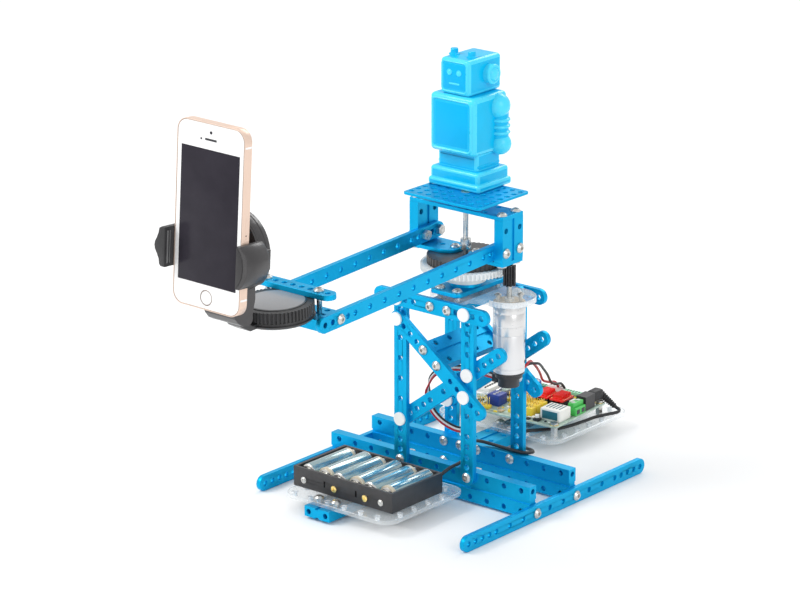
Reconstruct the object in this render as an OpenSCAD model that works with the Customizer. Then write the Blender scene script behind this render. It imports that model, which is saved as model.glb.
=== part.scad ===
/* [Kit beams] */
// Distance between neighbouring holes of the kit
pitch = 8; // [8:0.5:10]
// Radius of every through hole and tapped hole in the beams
hole_r = 2.1; // [2.05:0.05:2.3]
// Thickness of a narrow beam
narrow_t = 4; // [3.5:0.5:5]
// Width of a narrow beam, and of its round ends
narrow_w = 12; // [11:0.5:12]
// Thickness of a wide beam
wide_t = 8; // [7.5:0.5:8]
// Width of a wide beam
wide_w = 24; // [23:0.5:24]

/* [Base] */
// Length of each foot beam
foot_len = 220; // [172:16:236]
// Length of the front and rear rails
rail_len = 192; // [176:16:224]
// Height of the rails above the ground
rail_lift = 2; // [1:0.5:3]
// Length of the beam under the battery tray
battery_support_len = 100; // [84:16:116]
// Length of the beam under the board tray
board_support_len = 140; // [124:16:156]

/* [Tower] */
// Length of a tower post
post_len = 140; // [140:16:156]
// Length of a top beam
top_beam_len = 108; // [108:16:124]
// Length of a falling brace
falling_len = 108; // [108:16:124]
// Length of a rising brace
rising_len = 124; // [124:16:140]

/* [Turntable] */
// Teeth of the large gear
gear_teeth = 66; // [66:1:66]
// Teeth of the motor pinion
pinion_teeth = 8; // [8:1:8]
// Direction of the pinion from the shaft, in degrees from +X
pinion_azimuth = 9; // [5:1:14]
// Diameter of the gear motor
motor_d = 24.4; // [22:0.2:25]

/* [Arms] */
// Length of the two long arms
arm_len = 220; // [204:16:236]
// Angle by which the loaded arms droop
arm_droop = 2.4; // [0:0.2:3]
// Angle by which the phone leans back from upright
phone_lean = 3.3; // [0:0.1:8]
// Angle by which the phone leans sideways in its holder
phone_roll = 0.7; // [0:0.1:2]

/* [Phone] */
// Width of the phone
phone_w = 61.5; // [58:0.5:64]
// Height of the phone
phone_h = 130; // [122:1:134]
// Thickness of the phone
phone_t = 7.2; // [7:0.2:8]

/* [Hidden] */
$fn = 32;

blue = "deepskyblue";
eps = 0.5;

// Ground plan: x runs along the rails, y along the feet, and the shaft stands at (shaft_x, shaft_y)
origin_x = 96;
origin_y = 54.775;
tower_mid_x = 104;
tower_mid_y = 110;
left_post_x = tower_mid_x - 4 * pitch;
right_post_x = tower_mid_x + 4 * pitch;
front_rail_y = 82;
rear_rail_y = 130;
rail_low_z = rail_lift + 4;
rail_high_z = rail_low_z + 2 * pitch;
foot_hole_first = 6;
post_z = rail_high_z - foot_hole_first;
front_frame_y = front_rail_y - narrow_t;
rear_frame_y = rear_rail_y + wide_t;
brace_angle = 36.87;
top_hole_z = post_z + post_len - foot_hole_first;
tie_x = tower_mid_x + pitch;
tie_top_z = top_hole_z + wide_t / 2;

// Fasteners
screw_r = 1.95;
head_r = 3.8;
head_h = 2.2;
socket_af = 2.6;
socket_depth = 1.3;
nut_r = 4.1;
nut_h = 3.2;
rivet_head_r = 5.1;
rivet_head_h = 1.6;

// Turntable stack
shaft_x = 112;
shaft_y = 106;
shaft_r = 2;
gear_module = 1;
gear_distance = gear_module * (gear_teeth + pinion_teeth) / 2;
pinion_x = shaft_x + gear_distance * cos(pinion_azimuth);
pinion_y = shaft_y + gear_distance * sin(pinion_azimuth);
motor_plate_t = 4.5;
bearing_plate_t = 3;
bearing_plate_z = tie_top_z + motor_plate_t;
drum_base_z = bearing_plate_z + bearing_plate_t;
drum_z = 165;
gear_z = 173.5;
gear_t = 5;
hub_z = gear_z + gear_t;
bottom_plate_z = 185;
plate_t = 3;
head_post_z = bottom_plate_z + plate_t;
head_post_h = 32;
top_plate_z = head_post_z + head_post_h;
head_half = 44;
platform_z = 230.5;
platform_t = 2;

// Arms, in the frame that droops about the screws in the head posts
arm_z = 195.3;
arm_y0 = shaft_y - 206;
arm_gap = 32;
cross_y = arm_y0 + 14;
clamp_bar_z = arm_z + 16.7;
clamp_screw_x = 24;
cup_x = 116;
cup_y = -109.5;
cup_z = arm_z + wide_t / 2;
cup_r = 27.8;
hinge_y = -152.6;
hinge_z = 213.5;
hinge_r = 2;
lug_r = 4.5;
lug_w = 12;
neck_half = 14;
pin_half = neck_half - 1.5;

// Phone holder, in the frame that leans back with the phone
holder_y = -168.2;
holder_z = 262;
housing_r = 29;
housing_front = 11.6;
housing_back = 27.3;
rest_half = 12;
phone_rise = 27.1;
jaw_x = phone_w / 2 + 0.1;
tongue_half = 7;
tongue_y = 15;
tongue_t = 4;

// Battery holder and circuit board
tray_t = 3;
tray_z = rail_lift + wide_t;
battery_x = 31;
battery_y = 3;
battery_w = 95.5;
battery_d = 58.5;
battery_h = 15.5;
battery_wall = 2.4;
battery_floor = 2.9;
cell_r = 7.1;
cell_len = 50;
cell_pitch = 14.9;
battery_z = tray_z + tray_t;
terminal_z = battery_z + 6.4;
board_x = 70;
board_y = 239;
board_turn = 4;
board_w = 97;
board_d = 72;
board_t = 1.6;
board_z = tray_z + tray_t + 8;
board_top = board_z + board_t;

// Routes of the free cords, in the ground plan
lead_r = 1.3;
lead_route = [[122.5, 61.6, 24.5], [122.5, 65, 25.2], [123.5, 74, 28], [123.5, 86, 28.8],
    [119, 96, 29], [112.5, 106, 29.6], [106, 116, 30.4], [104, 124, 30.6], [107, 130.5, 29.4],
    [113.5, 134, 28], [122, 134.8, 27.5], [135, 134.8, 27.4], [143, 135.4, 27.4],
    [147.2, 138.6, 27.2], [147.4, 143.6, 26.4], [142, 148.5, 25.4], [133, 153.5, 23.4],
    [119, 167, 20], [105, 184, 17], [95, 197, 15.2], [95.4, 204, 14.5], [101, 212, 14.4],
    [110.5, 224.4, 14.4], [113.8, 236, 14.4], [115.2, 247.1, 14.4], [116.6, 263.1, 14.4],
    [119.4, 273, 14.4], [122.2, 280.3, 14.4], [123.2, 284.6, 14.6], [122.2, 286.8, 15.6],
    [119.7, 285.5, 17.5]];
red_route = [[147.9, 122.4, 92.5], [149, 125, 94.6], [150.8, 129.4, 99.6], [147.6, 138.5, 100],
    [141.6, 149, 95], [128.1, 172, 82.3], [108.5, 202, 65.3], [88.4, 232, 47.2], [82, 248, 40],
    [79.8, 259, 36.5], [79.4, 263.8, 31.3]];
black_route = [[145.2, 122.9, 92.5], [146, 126.4, 95], [149.6, 134.4, 99], [152, 141.4, 98.4],
    [148.6, 150, 94.4], [134.8, 172, 82.3], [115.8, 202, 65.6], [96.4, 232, 47.5], [89, 248, 40],
    [86, 259, 36.5], [85.4, 264.2, 31.3]];
encoder_r = 2.4;
encoder_route = [[135.5, 111.8, 92.5], [129, 111.7, 92.8], [115, 111.4, 93.2], [100, 110.8, 91.8],
    [86, 110.2, 87.4], [77, 110, 80.5], [73, 110, 71.5], [73, 110, 62], [77, 110.4, 53],
    [86, 111, 46.2], [97, 113.4, 42], [101, 121, 40], [96, 131, 38.5], [83.5, 146, 37],
    [71, 161, 37], [57, 179, 38.5], [46, 193, 40.5], [40.5, 201.5, 41], [39.1, 207, 38],
    [39.1, 207.3, 35], [39.1, 207.3, 31.5]];
wire_r = 1;

// ---- shared shapes ----

function narrow_holes(len) =
    len <= 76 ? [for (p = [6 : pitch : len - 6]) p]
    : concat([for (p = [6 : pitch : 38]) p],
             [for (p = [54 : 2 * pitch : len - 54]) p],
             [for (p = [len - 38 : pitch : len - 6]) p]);

module place() translate([-origin_x, -origin_y, 0]) children();

module narrow_beam(len) {
    end_r = narrow_w / 2;
    difference() {
        union() {
            for (x = [end_r, len - end_r]) translate([x, 0, 0]) cylinder(r = end_r, h = narrow_t);
            translate([end_r, -end_r, 0]) cube([len - narrow_w, narrow_w, narrow_t]);
        }
        for (p = narrow_holes(len))
            translate([p, 0, -eps]) cylinder(r = hole_r, h = narrow_t + 2 * eps);
    }
}

module wide_beam(len, first = pitch) {
    groove_w = 3;
    groove_d = 1;
    tap_depth = 12;
    difference() {
        translate([0, -wide_w / 2, 0]) cube([len, wide_w, wide_t]);
        for (x = [first : 2 * pitch : len - 5])
            for (y = [-pitch, pitch])
                translate([x, y, -eps]) cylinder(r = hole_r, h = wide_t + 2 * eps);
        for (z = [-eps, wide_t - groove_d])
            translate([-eps, -groove_w / 2, z]) cube([len + 2 * eps, groove_w, groove_d + eps]);
        for (y = [-pitch, pitch])
            for (x = [-eps, len - tap_depth])
                translate([x, y, wide_t / 2]) rotate([0, 90, 0]) cylinder(r = hole_r, h = tap_depth + eps);
    }
}

// A narrow beam on edge along +X, its faces at y = 0 and y = narrow_t
module edge_beam_x(len) translate([0, narrow_t, 0]) rotate([90, 0, 0]) narrow_beam(len);

// A narrow beam on edge along +Y, its faces at x = 0 and x = narrow_t
module edge_beam_y(len) translate([narrow_t, 0, 0]) rotate([0, 0, 90]) edge_beam_x(len);

// A narrow beam standing along +Z, its faces at y = 0 and y = narrow_t
module standing_beam(len) translate([0, narrow_t, 0]) rotate([90, -90, 0]) narrow_beam(len);

// A button-head screw: the head's seat is at z = 0 and the shank runs to z = -len
module screw(len) {
    difference() {
        union() {
            cylinder(r = head_r, h = 0.9);
            translate([0, 0, 0.9]) cylinder(r1 = head_r, r2 = 2.3, h = head_h - 0.9);
        }
        translate([0, 0, head_h - socket_depth]) cylinder(d = socket_af * 1.155, h = 2, $fn = 6);
    }
    translate([0, 0, -len]) cylinder(r = screw_r, h = len);
}

// A hexagon nut whose seat is at z = 0, growing towards +Z
module nut() difference() {
    cylinder(r = nut_r, h = nut_h, $fn = 6);
    translate([0, 0, -eps]) cylinder(r = screw_r, h = nut_h + 2 * eps);
}

module screw_to(dir, len) rotate(dir) screw(len);

// Turns that point a fastener's head along an axis
to_minus_y = [90, 0, 0];
to_plus_y = [-90, 0, 0];
to_plus_x = [0, 90, 0];
to_minus_x = [0, -90, 0];

module rivet(grip) {
    for (z = [0, -grip - rivet_head_h]) translate([0, 0, z]) cylinder(r = rivet_head_r, h = rivet_head_h);
    translate([0, 0, -grip]) cylinder(r = screw_r, h = grip);
}

module round_box(size, r) linear_extrude(size[2])
    round_rect(size[0], size[1], r);

module round_rect(w, d, r) {
    for (x = [r, w - r]) for (y = [r, d - r]) translate([x, y]) circle(r = r);
    translate([r, 0]) square([w - 2 * r, d]);
    translate([0, r]) square([w, d - 2 * r]);
}

// Toothed outline: flanks fall from the tip width to the root width
function tooth_angles(n, tip, root) = [-root / n, -tip / n, tip / n, root / n];
function gear_points(n, root_r, mid_r, tip_r, root_w, mid_w, tip_w) =
    [for (i = [0 : n - 1]) for (s = [[-root_w, root_r], [-mid_w, mid_r], [-tip_w, tip_r],
                                     [tip_w, tip_r], [mid_w, mid_r], [root_w, root_r]])
        let (a = (i + s[0]) * 360 / n) [s[1] * cos(a), s[1] * sin(a)]];

function ribbed_points(n, low_r, high_r) =
    [for (i = [0 : n - 1]) for (s = [[0.1, low_r], [0.28, high_r], [0.72, high_r], [0.9, low_r]])
        let (a = (i + s[0]) * 360 / n) [s[1] * cos(a), s[1] * sin(a)]];

// ---- cord sweep ----

cord_sides = 8;
function unit(v) = v / norm(v);
function smooth_point(p, i, t) =
    let (a = p[max(i - 1, 0)], b = p[i], c = p[i + 1], d = p[min(i + 2, len(p) - 1)])
    0.5 * ((2 * b) + (c - a) * t + (2 * a - 5 * b + 4 * c - d) * t * t
           + (3 * b - a - 3 * c + d) * t * t * t);
function smooth_route(p, steps) = concat(
    [for (i = [0 : len(p) - 2]) for (k = [0 : steps - 1]) smooth_point(p, i, k / steps)],
    [p[len(p) - 1]]);
function ring_at(p, i, r) =
    let (t = unit(p[min(i + 1, len(p) - 1)] - p[max(i - 1, 0)]),
         side = unit(cross(t, [0.12, 0.2, 1])), up = cross(side, t))
    [for (k = [0 : cord_sides - 1]) let (a = 360 * k / cord_sides) p[i] + r * (cos(a) * side + sin(a) * up)];

module cord_tube(route, r, steps) {
    p = smooth_route(route, steps);
    n = len(p);
    points = [for (i = [0 : n - 1]) each ring_at(p, i, r)];
    sides = [for (i = [0 : n - 2]) for (k = [0 : cord_sides - 1])
        let (k2 = (k + 1) % cord_sides, a = i * cord_sides, b = (i + 1) * cord_sides)
        [a + k, a + k2, b + k2, b + k]];
    first = [for (k = [cord_sides - 1 : -1 : 0]) k];
    last = [for (k = [0 : cord_sides - 1]) (n - 1) * cord_sides + k];
    polyhedron(points = points, faces = concat(sides, [first, last]), convexity = 8);
}

// ---- base ----

module left_foot() color(blue) place()
    translate([-narrow_t, 0, narrow_w / 2]) edge_beam_y(foot_len);

module right_foot() color(blue) place()
    translate([rail_len, 0, narrow_w / 2]) edge_beam_y(foot_len);

module rail(y) translate([0, y + wide_t, rail_lift + wide_w / 2]) rotate([90, 0, 0]) wide_beam(rail_len);

module front_rail() color(blue) place() rail(front_rail_y);

module rear_rail() color(blue) place() rail(rear_rail_y);

module battery_support_beam() color(blue) place() difference() {
    translate([left_post_x, front_rail_y, rail_lift]) rotate([0, 0, -90]) wide_beam(battery_support_len);
    translate([left_post_x, front_rail_y - 14, rail_low_z]) rotate([-90, 0, 0])
        cylinder(r = hole_r, h = 14 + eps);
}

module board_support_beam() color(blue) place() difference() {
    translate([left_post_x, rear_frame_y, rail_lift]) rotate([0, 0, 90]) wide_beam(board_support_len);
    translate([left_post_x, rear_frame_y - eps, rail_low_z]) rotate([-90, 0, 0])
        cylinder(r = hole_r, h = 14 + eps);
}

// ---- tower ----

module tower_posts() color(blue) place()
    for (x = [left_post_x, right_post_x])
        for (y = [front_frame_y, rear_frame_y])
            translate([x, y, post_z]) standing_beam(post_len);

module top_beams() color(blue) place()
    for (y = [front_frame_y - narrow_t, rear_frame_y + narrow_t])
        translate([tower_mid_x - top_beam_len / 2, y, top_hole_z]) edge_beam_x(top_beam_len);

module falling_braces() color(blue) place()
    for (y = [front_frame_y - narrow_t, rear_frame_y + narrow_t])
        translate([left_post_x, y, top_hole_z - 2 * pitch]) rotate([0, brace_angle, 0])
            translate([-6, 0, 0]) edge_beam_x(falling_len);

module rising_braces() color(blue) place()
    for (y = [front_frame_y + narrow_t, rear_frame_y - narrow_t])
        translate([left_post_x, y, post_z + 38]) rotate([0, -brace_angle, 0])
            translate([-6, 0, 0]) edge_beam_x(rising_len);

module tie_beams() color(blue) place() {
    tie_len = rear_frame_y + narrow_t - front_frame_y;
    translate([tie_x, front_frame_y, top_hole_z - wide_t / 2]) rotate([0, 0, 90]) wide_beam(tie_len);
    translate([tower_mid_x, front_frame_y, post_z + 94]) rotate([0, brace_angle, 0])
        translate([0, 0, -wide_t / 2]) rotate([0, 0, 90]) wide_beam(tie_len);
}

// ---- trays, batteries and electronics ----

module holed_tray(w, d, support_x, holes_y, skip = []) difference() {
    round_box([w, d, tray_t], 12);
    for (x = [8 : 16 : w - 6])
        for (y = [7 : d - 14 : d - 7])
            translate([x, y, -eps]) cylinder(r = 1.9, h = tray_t + 2 * eps);
    for (y = [22 : 16 : d - 20])
        for (x = [7, w - 7])
            translate([x, y, -eps]) cylinder(r = 1.9, h = tray_t + 2 * eps);
    for (x = [-pitch, pitch])
        for (y = holes_y)
            translate([support_x + x, y, -eps]) cylinder(r = hole_r, h = tray_t + 2 * eps);
}

battery_tray_x = 33;
battery_tray_y = -14;
battery_tray_w = 104;
battery_tray_d = 92;
board_tray_x = 6;
board_tray_y = 198;
board_tray_w = 120;
board_tray_d = 100;
battery_tray_screw_y = [-6, 74];
board_tray_screw_y = [210, 258];

module battery_tray() color("white", 0.5) place()
    translate([battery_tray_x, battery_tray_y, tray_z])
        holed_tray(battery_tray_w, battery_tray_d, left_post_x - battery_tray_x,
                   [for (y = battery_tray_screw_y) y - battery_tray_y]);

module board_tray() color("white", 0.5) place()
    translate([board_tray_x, board_tray_y, tray_z]) difference() {
        holed_tray(board_tray_w, board_tray_d, left_post_x - board_tray_x,
                   [for (y = board_tray_screw_y) y - board_tray_y]);
        translate([-board_tray_x, -board_tray_y, -eps]) board_corners()
            cylinder(r = 1.6, h = tray_t + 2 * eps);
    }

function cell_x(i) = battery_x + battery_w / 2 + (i - 2.5) * cell_pitch;
cell_axis_z = battery_z + battery_floor + cell_r + 0.3;
cell_y = battery_y + battery_d / 2;
terminal_cells = [0, 2, 4, 5];

module battery_holder() color("#26262a") place() difference() {
    translate([battery_x, battery_y, battery_z]) cube([battery_w, battery_d, battery_h]);
    translate([battery_x + battery_wall, battery_y + battery_wall, battery_z + battery_floor])
        cube([battery_w - 2 * battery_wall, battery_d - 2 * battery_wall, battery_h]);
    for (i = terminal_cells)
        translate([cell_x(i), battery_y - eps, terminal_z]) rotate([-90, 0, 0])
            cylinder(r = 1.3, h = battery_wall + 2 * eps);
}

module battery_cells() color("#9fc4cc") place()
    for (i = [0 : 5]) {
        up = i % 2 == 0 ? 1 : -1;
        translate([cell_x(i), cell_y, cell_axis_z]) rotate([-90 * up, 0, 0]) {
            translate([0, 0, -cell_len / 2]) cylinder(r = cell_r, h = cell_len - 1.4);
            translate([0, 0, cell_len / 2 - 1.4]) cylinder(r = 2.7, h = 1.4);
        }
    }

module battery_contacts() color("silver") place() {
    gap = (battery_d - 2 * battery_wall - cell_len) / 2;
    for (i = [0 : 5])
        for (side = [-1, 1])
            translate([cell_x(i), cell_y + side * (cell_len / 2 + gap), cell_axis_z])
                rotate([side * 90, 0, 0]) cylinder(r = 4.6, h = gap - 0.1);
    for (i = terminal_cells)
        translate([cell_x(i), battery_y, terminal_z]) rotate([90, 0, 0]) {
            translate([0, 0, 0.1 - battery_wall]) cylinder(r = 1.2, h = battery_wall - 0.1);
            cylinder(r = 2.5, h = 0.8);
        }
}

module board_frame() translate([board_x, board_y, 0]) rotate([0, 0, board_turn]) children();

module board_corners() board_frame()
    for (x = [-1, 1]) for (y = [-1, 1])
        translate([x * (board_w / 2 - 4), y * (board_d / 2 - 4), 0]) children();

module circuit_board() color("#5aa27c") place() difference() {
    board_frame() translate([-board_w / 2, -board_d / 2, board_z]) round_box([board_w, board_d, board_t], 3);
    translate([0, 0, board_z - eps]) board_corners() cylinder(r = 1.6, h = board_t + 2 * eps);
}

module board_standoffs() color("silver") place() board_corners() {
    translate([0, 0, tray_z + tray_t]) cylinder(r = 2.9, h = board_z - tray_z - tray_t, $fn = 6);
    translate([0, 0, board_top]) cylinder(r = 3, h = 1.8);
    translate([0, 0, board_z]) cylinder(r = 1.5, h = board_t);
}

// A block on the board, by its middle, its size and its height
module on_board(x, y, size) board_frame()
    translate([x - size[0] / 2, y - size[1] / 2, board_top]) cube(size);

module pin_headers() color("gold") place() {
    for (x = [-33, -26.5, -20]) on_board(x, -29.5, [5.6, 5, 9]);
    for (y = [-24, -16, -8]) on_board(17, y, [6.5, 6.5, 9]);
    on_board(5, -26, [13, 4.6, 8.5]);
    on_board(-4, -6, [24, 4.6, 8.5]);
    on_board(-4, 1, [24, 4.6, 8.5]);
}

module driver_modules() color("crimson") place()
    for (x = [8, 22.5]) {
        on_board(x, 12, [12.5, 17, 2.2]);
        board_frame() translate([x - 5.3, 5.5, board_top + 2.2]) cube([10.6, 13, 7.2]);
    }

module connector_blocks() color("whitesmoke") place() {
    on_board(-37, 1, [13, 24, 8]);
    on_board(-19, -17, [11, 12, 9]);
    on_board(-22, 8, [12, 10, 3]);
    on_board(37, -19, [18, 16, 9.4]);
    on_board(44, 0, [8, 14, 10]);
    on_board(33.4, 12.5, [4.4, 7, 7]);
    on_board(8, 33, [48, 5, 4]);
    on_board(8, 26.5, [14, 5, 8.5]);
    on_board(28, -31, [5.4, 5.4, 2]);
    board_frame() translate([-13, 24, board_top]) cylinder(r = 7, h = 9);
}

jack_x = 42.4;
jack_y = 22;
jack_z = board_top + 6.9;
barrel_r = 2.75;

// The jack opens to the rear
module power_jack() color("#202022") place() board_frame() difference() {
    translate([jack_x - 4.5, jack_y - 13, board_top]) cube([9, 13, 11]);
    translate([jack_x, jack_y - 9, jack_z]) rotate([-90, 0, 0]) cylinder(r = barrel_r + 0.15, h = 12);
}

module reset_button() color("#f2f2f2") place() board_frame()
    translate([28, -31, board_top + 2.5]) cylinder(r = 1.75, h = 2.1);

// ---- motor, turntable and platform ----

module motor_plate() color("white", 0.5) place() difference() {
    end_r = 20;
    plate_x = 96;
    plate_y = 81;
    plate_w = 34;
    plate_d = 58;
    neck_x = plate_x + plate_w - 4;
    translate([0, 0, tie_top_z]) linear_extrude(motor_plate_t) union() {
        translate([plate_x, plate_y]) round_rect(plate_w, plate_d, 4);
        translate([pinion_x, pinion_y]) circle(r = end_r, $fn = 64);
        polygon([[neck_x, 86], [pinion_x - 6, pinion_y - end_r + 1], [pinion_x, pinion_y],
                 [pinion_x - 6, pinion_y + end_r - 1], [neck_x, 134]]);
    }
    for (y = [86, 134]) for (x = [-pitch, pitch])
        translate([tie_x + x, y, tie_top_z - eps]) cylinder(r = hole_r, h = motor_plate_t + 2 * eps);
    translate([pinion_x, pinion_y, tie_top_z - eps]) cylinder(r = 3.8, h = motor_plate_t + 2 * eps);
    for (a = [45, 225]) translate([pinion_x, pinion_y, tie_top_z - eps]) rotate([0, 0, a])
        translate([8.5, 0, 0]) cylinder(r = 1.6, h = motor_plate_t + 2 * eps);
    translate([shaft_x, shaft_y, tie_top_z - eps]) cylinder(r = 4, h = motor_plate_t + 2 * eps);
}

module bearing_plate() color(blue) place() difference() {
    union() {
        translate([tie_x - 14, 80, bearing_plate_z]) round_box([28, 58, bearing_plate_t], 4);
        translate([shaft_x, shaft_y, bearing_plate_z]) cylinder(r = 12, h = drum_z - bearing_plate_z - 0.4);
    }
    for (y = [86, 134]) for (x = [-pitch, pitch])
        translate([tie_x + x, y, bearing_plate_z - eps]) cylinder(r = hole_r, h = 8);
    translate([shaft_x, shaft_y, bearing_plate_z - eps]) cylinder(r = shaft_r, h = 20);
}

module motor_body() color("silver") place() translate([pinion_x, pinion_y, 0]) difference() {
    union() {
        translate([0, 0, 98]) cylinder(d = motor_d - 0.8, h = 2);
        translate([0, 0, 100]) cylinder(d = motor_d - 0.6, h = 30);
        translate([0, 0, 130]) cylinder(d = motor_d, h = 21.4);
        translate([0, 0, 151.4]) cylinder(d = motor_d, h = tie_top_z - 151.4);
        translate([0, 0, tie_top_z]) cylinder(r = 3.6, h = 2.4);
        translate([0, 0, tie_top_z + 2.4]) cylinder(r = shaft_r, h = 9.4);
    }
    for (a = [45, 225]) rotate([0, 0, a]) translate([8.5, 0, tie_top_z - 4]) cylinder(r = 1.5, h = 5);
}

module motor_encoder() color("dimgray") place() translate([pinion_x, pinion_y, 0]) {
    translate([0, 0, 88.5]) cylinder(r = 8, h = 7);
    translate([0, 0, 95.5]) cylinder(r = 10.2, h = 2.4);
    translate([-13, -3.5, 89.5]) cube([4.8, 7, 6]);
    translate([-9.5, -3.5, 93]) cube([3, 7, 2.5]);
    rotate([0, 0, 100]) translate([7, -3, 90.2]) cube([4, 6, 4.6]);
}

module motor_pinion() color("#1c1c1e") place() translate([pinion_x, pinion_y, 0]) {
    bottom = 166;
    translate([0, 0, bottom]) difference() {
        linear_extrude(15.5) rotate(pinion_azimuth)
            polygon(gear_points(pinion_teeth, 2.75, 3.7, 4.85, 0.27, 0.225, 0.1));
        translate([0, 0, -eps]) cylinder(r = shaft_r + 0.05, h = 20);
    }
}

module center_shaft() color("silver") place()
    translate([shaft_x, shaft_y, tie_top_z]) cylinder(r = shaft_r, h = platform_z + platform_t - tie_top_z);

module collar(z, r, h) translate([shaft_x, shaft_y, z]) difference() {
    cylinder(r = r, h = h);
    translate([0, 0, -eps]) cylinder(r = shaft_r + 0.02, h = h + 2 * eps);
    translate([0, 0, h / 2]) rotate([0, 90, 0]) cylinder(r = 1, h = r + 1);
}

module shaft_collars() color("silver") place() {
    collar(head_post_z + 0.4, 4, 8);
    collar(top_plate_z + plate_t + 0.4, 5, platform_z - top_plate_z - plate_t - 0.4);
    collar(platform_z + platform_t - 1.6, 3.9, 1.6);
}

platform_w = 72;
platform_d = 60;

module platform_plate() color(blue) place() translate([shaft_x, shaft_y, platform_z]) difference() {
    translate([-platform_w / 2, -platform_d / 2, 0]) round_box([platform_w, platform_d, platform_t], 3);
    for (i = [-4 : 4]) for (j = [-3 : 3])
        if (abs(i) + abs(j) > 1)
            translate([i * pitch, j * pitch, -eps])
                cylinder(r = (i + j) % 4 == 0 ? 2.4 : hole_r, h = platform_t + 2 * eps);
    translate([0, 0, -eps]) cylinder(r = 4, h = platform_t + 2 * eps);
}

figure_x = 101;
figure_y = 119.5;

// A plain toy robot, standing on the platform
module toy_figure() color("#2cc3ee") place()
    translate([figure_x, figure_y, platform_z + platform_t]) {
        middle_box([48.5, 39.5, 6], [-0.2, 4.8], 0, 5);
        middle_box([45.5, 37, 8.5], [-0.7, 5], 6, 5);
        middle_box([37, 28, 12.5], [-1.5, 5.5], 14.5, 4);
        middle_box([42, 40, 44], [-0.5, 3.5], 27, 4);
        middle_box([27, 38.5, 27], [0, 5.3], 71, 3);
        for (side = [-1, 1]) translate([0.8, 0, 0]) {
            translate([side * 12, 10, 85]) rotate([0, side * 90, 0]) cylinder(r = 7.5, h = 7.5);
            translate([side * 18, 13.5, 61]) sphere(r = 9.5);
            translate([side * 18.5, 15, 34]) cylinder(r = 7.5, h = 27);
            translate([side * 19.5, 15, 32]) sphere(r = 8.3);
            translate([side * 8.2 - 3, -1, 98]) cylinder(r = 2.9, h = 4.6);
        }
    }

module middle_box(size, mid, z, r)
    translate([mid[0] - size[0] / 2, mid[1] - size[1] / 2, z]) round_box(size, r);

// ---- fasteners of the base and tower ----

module at(x, y, z) translate([x, y, z]) children();

module frame_screws() color("silver") place() {
    for (y = [86, 134]) {
        at(-narrow_t, y, rail_low_z) screw_to(to_minus_x, 14);
        at(rail_len + narrow_t, y, rail_low_z) screw_to(to_plus_x, 14);
    }
    for (x = [left_post_x, right_post_x]) {
        at(x, front_frame_y, rail_high_z) screw_to(to_minus_y, 15.6);
        at(x, rear_rail_y, rail_high_z) screw_to(to_minus_y, 15.6);
    }
    for (x = [88, 104]) at(x, rear_rail_y, rail_high_z) screw_to(to_minus_y, 11.6);
    at(left_post_x, front_rail_y + wide_t, rail_low_z) screw_to(to_plus_y, 20);
    at(left_post_x, rear_rail_y, rail_low_z) screw_to(to_minus_y, 20);
    for (x = [-pitch, pitch]) {
        at(tie_x + x, front_frame_y - narrow_t, top_hole_z) screw_to(to_minus_y, 14);
        at(tie_x + x, rear_frame_y + 2 * narrow_t, top_hole_z) screw_to(to_plus_y, 14);
        for (y = [86, 134]) at(tie_x + x, y, drum_base_z) screw(14);
        for (y = battery_tray_screw_y) at(left_post_x + x, y, battery_z) screw(10.6);
        for (y = board_tray_screw_y) at(left_post_x + x, y, battery_z) screw(10.6);
    }
    for (s = [32, 48]) {
        x = left_post_x + s * cos(brace_angle);
        z = top_hole_z - 2 * pitch - s * sin(brace_angle);
        at(x, front_frame_y - narrow_t, z) screw_to(to_minus_y, 14);
        at(x, rear_frame_y + 2 * narrow_t, z) screw_to(to_plus_y, 14);
    }
    for (a = [45, 225]) translate([pinion_x, pinion_y, tie_top_z + motor_plate_t]) rotate([0, 0, a])
        translate([8.5, 0, 0]) scale([0.72, 0.72, 0.72]) screw(11);
}

module frame_nuts() color("silver") place() {
    for (x = [left_post_x, right_post_x]) {
        at(x, front_rail_y + wide_t, rail_high_z) rotate(to_plus_y) nut();
        at(x, rear_frame_y + narrow_t, rail_high_z) rotate(to_plus_y) nut();
    }
    for (x = [88, 104]) at(x, rear_frame_y, rail_high_z) rotate(to_plus_y) nut();
}

// Rivets through a post and the beam in front of or behind it
module rivet_at(x, z, outer_y, inner_y) at(x, outer_y, z) rotate(to_minus_y) rivet(inner_y - outer_y);

module frame_rivets() color("white") place() {
    brace_run = 80;
    outer = [[left_post_x, top_hole_z], [right_post_x, top_hole_z], [left_post_x, top_hole_z - 2 * pitch],
             [left_post_x + brace_run * cos(brace_angle), top_hole_z - 2 * pitch - brace_run * sin(brace_angle)]];
    inner = [[left_post_x, post_z + 38],
             [left_post_x + brace_run * cos(brace_angle), post_z + 38 + brace_run * sin(brace_angle)]];
    for (p = outer) {
        rivet_at(p[0], p[1], front_frame_y - narrow_t, front_rail_y);
        rivet_at(p[0], p[1], rear_frame_y, rear_frame_y + 2 * narrow_t);
    }
    for (p = inner) {
        rivet_at(p[0], p[1], front_frame_y, front_rail_y + narrow_t);
        rivet_at(p[0], p[1], rear_frame_y - narrow_t, rear_frame_y + narrow_t);
    }
}

// ---- cords ----

module power_lead() color("#1a1a1a") place() cord_tube(lead_route, lead_r, 2);

module motor_leads() color("firebrick") place() {
    cord_tube(red_route, wire_r, 3);
    cord_tube(black_route, wire_r, 3);
}

module encoder_cable() color("gray") place() cord_tube(encoder_route, encoder_r, 2);

plug_half = 4.3;
plug_len = 13;

module power_plug() color("#161618") place() board_frame() {
    translate([jack_x, jack_y - 7, jack_z]) rotate([-90, 0, 0]) cylinder(r = barrel_r, h = 8);
    translate([jack_x - plug_half, jack_y + 0.3, jack_z - plug_half])
        cube([2 * plug_half, plug_len, 2 * plug_half]);
    translate([jack_x, jack_y + plug_len + 0.3, jack_z]) plug_relief();
}

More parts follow.
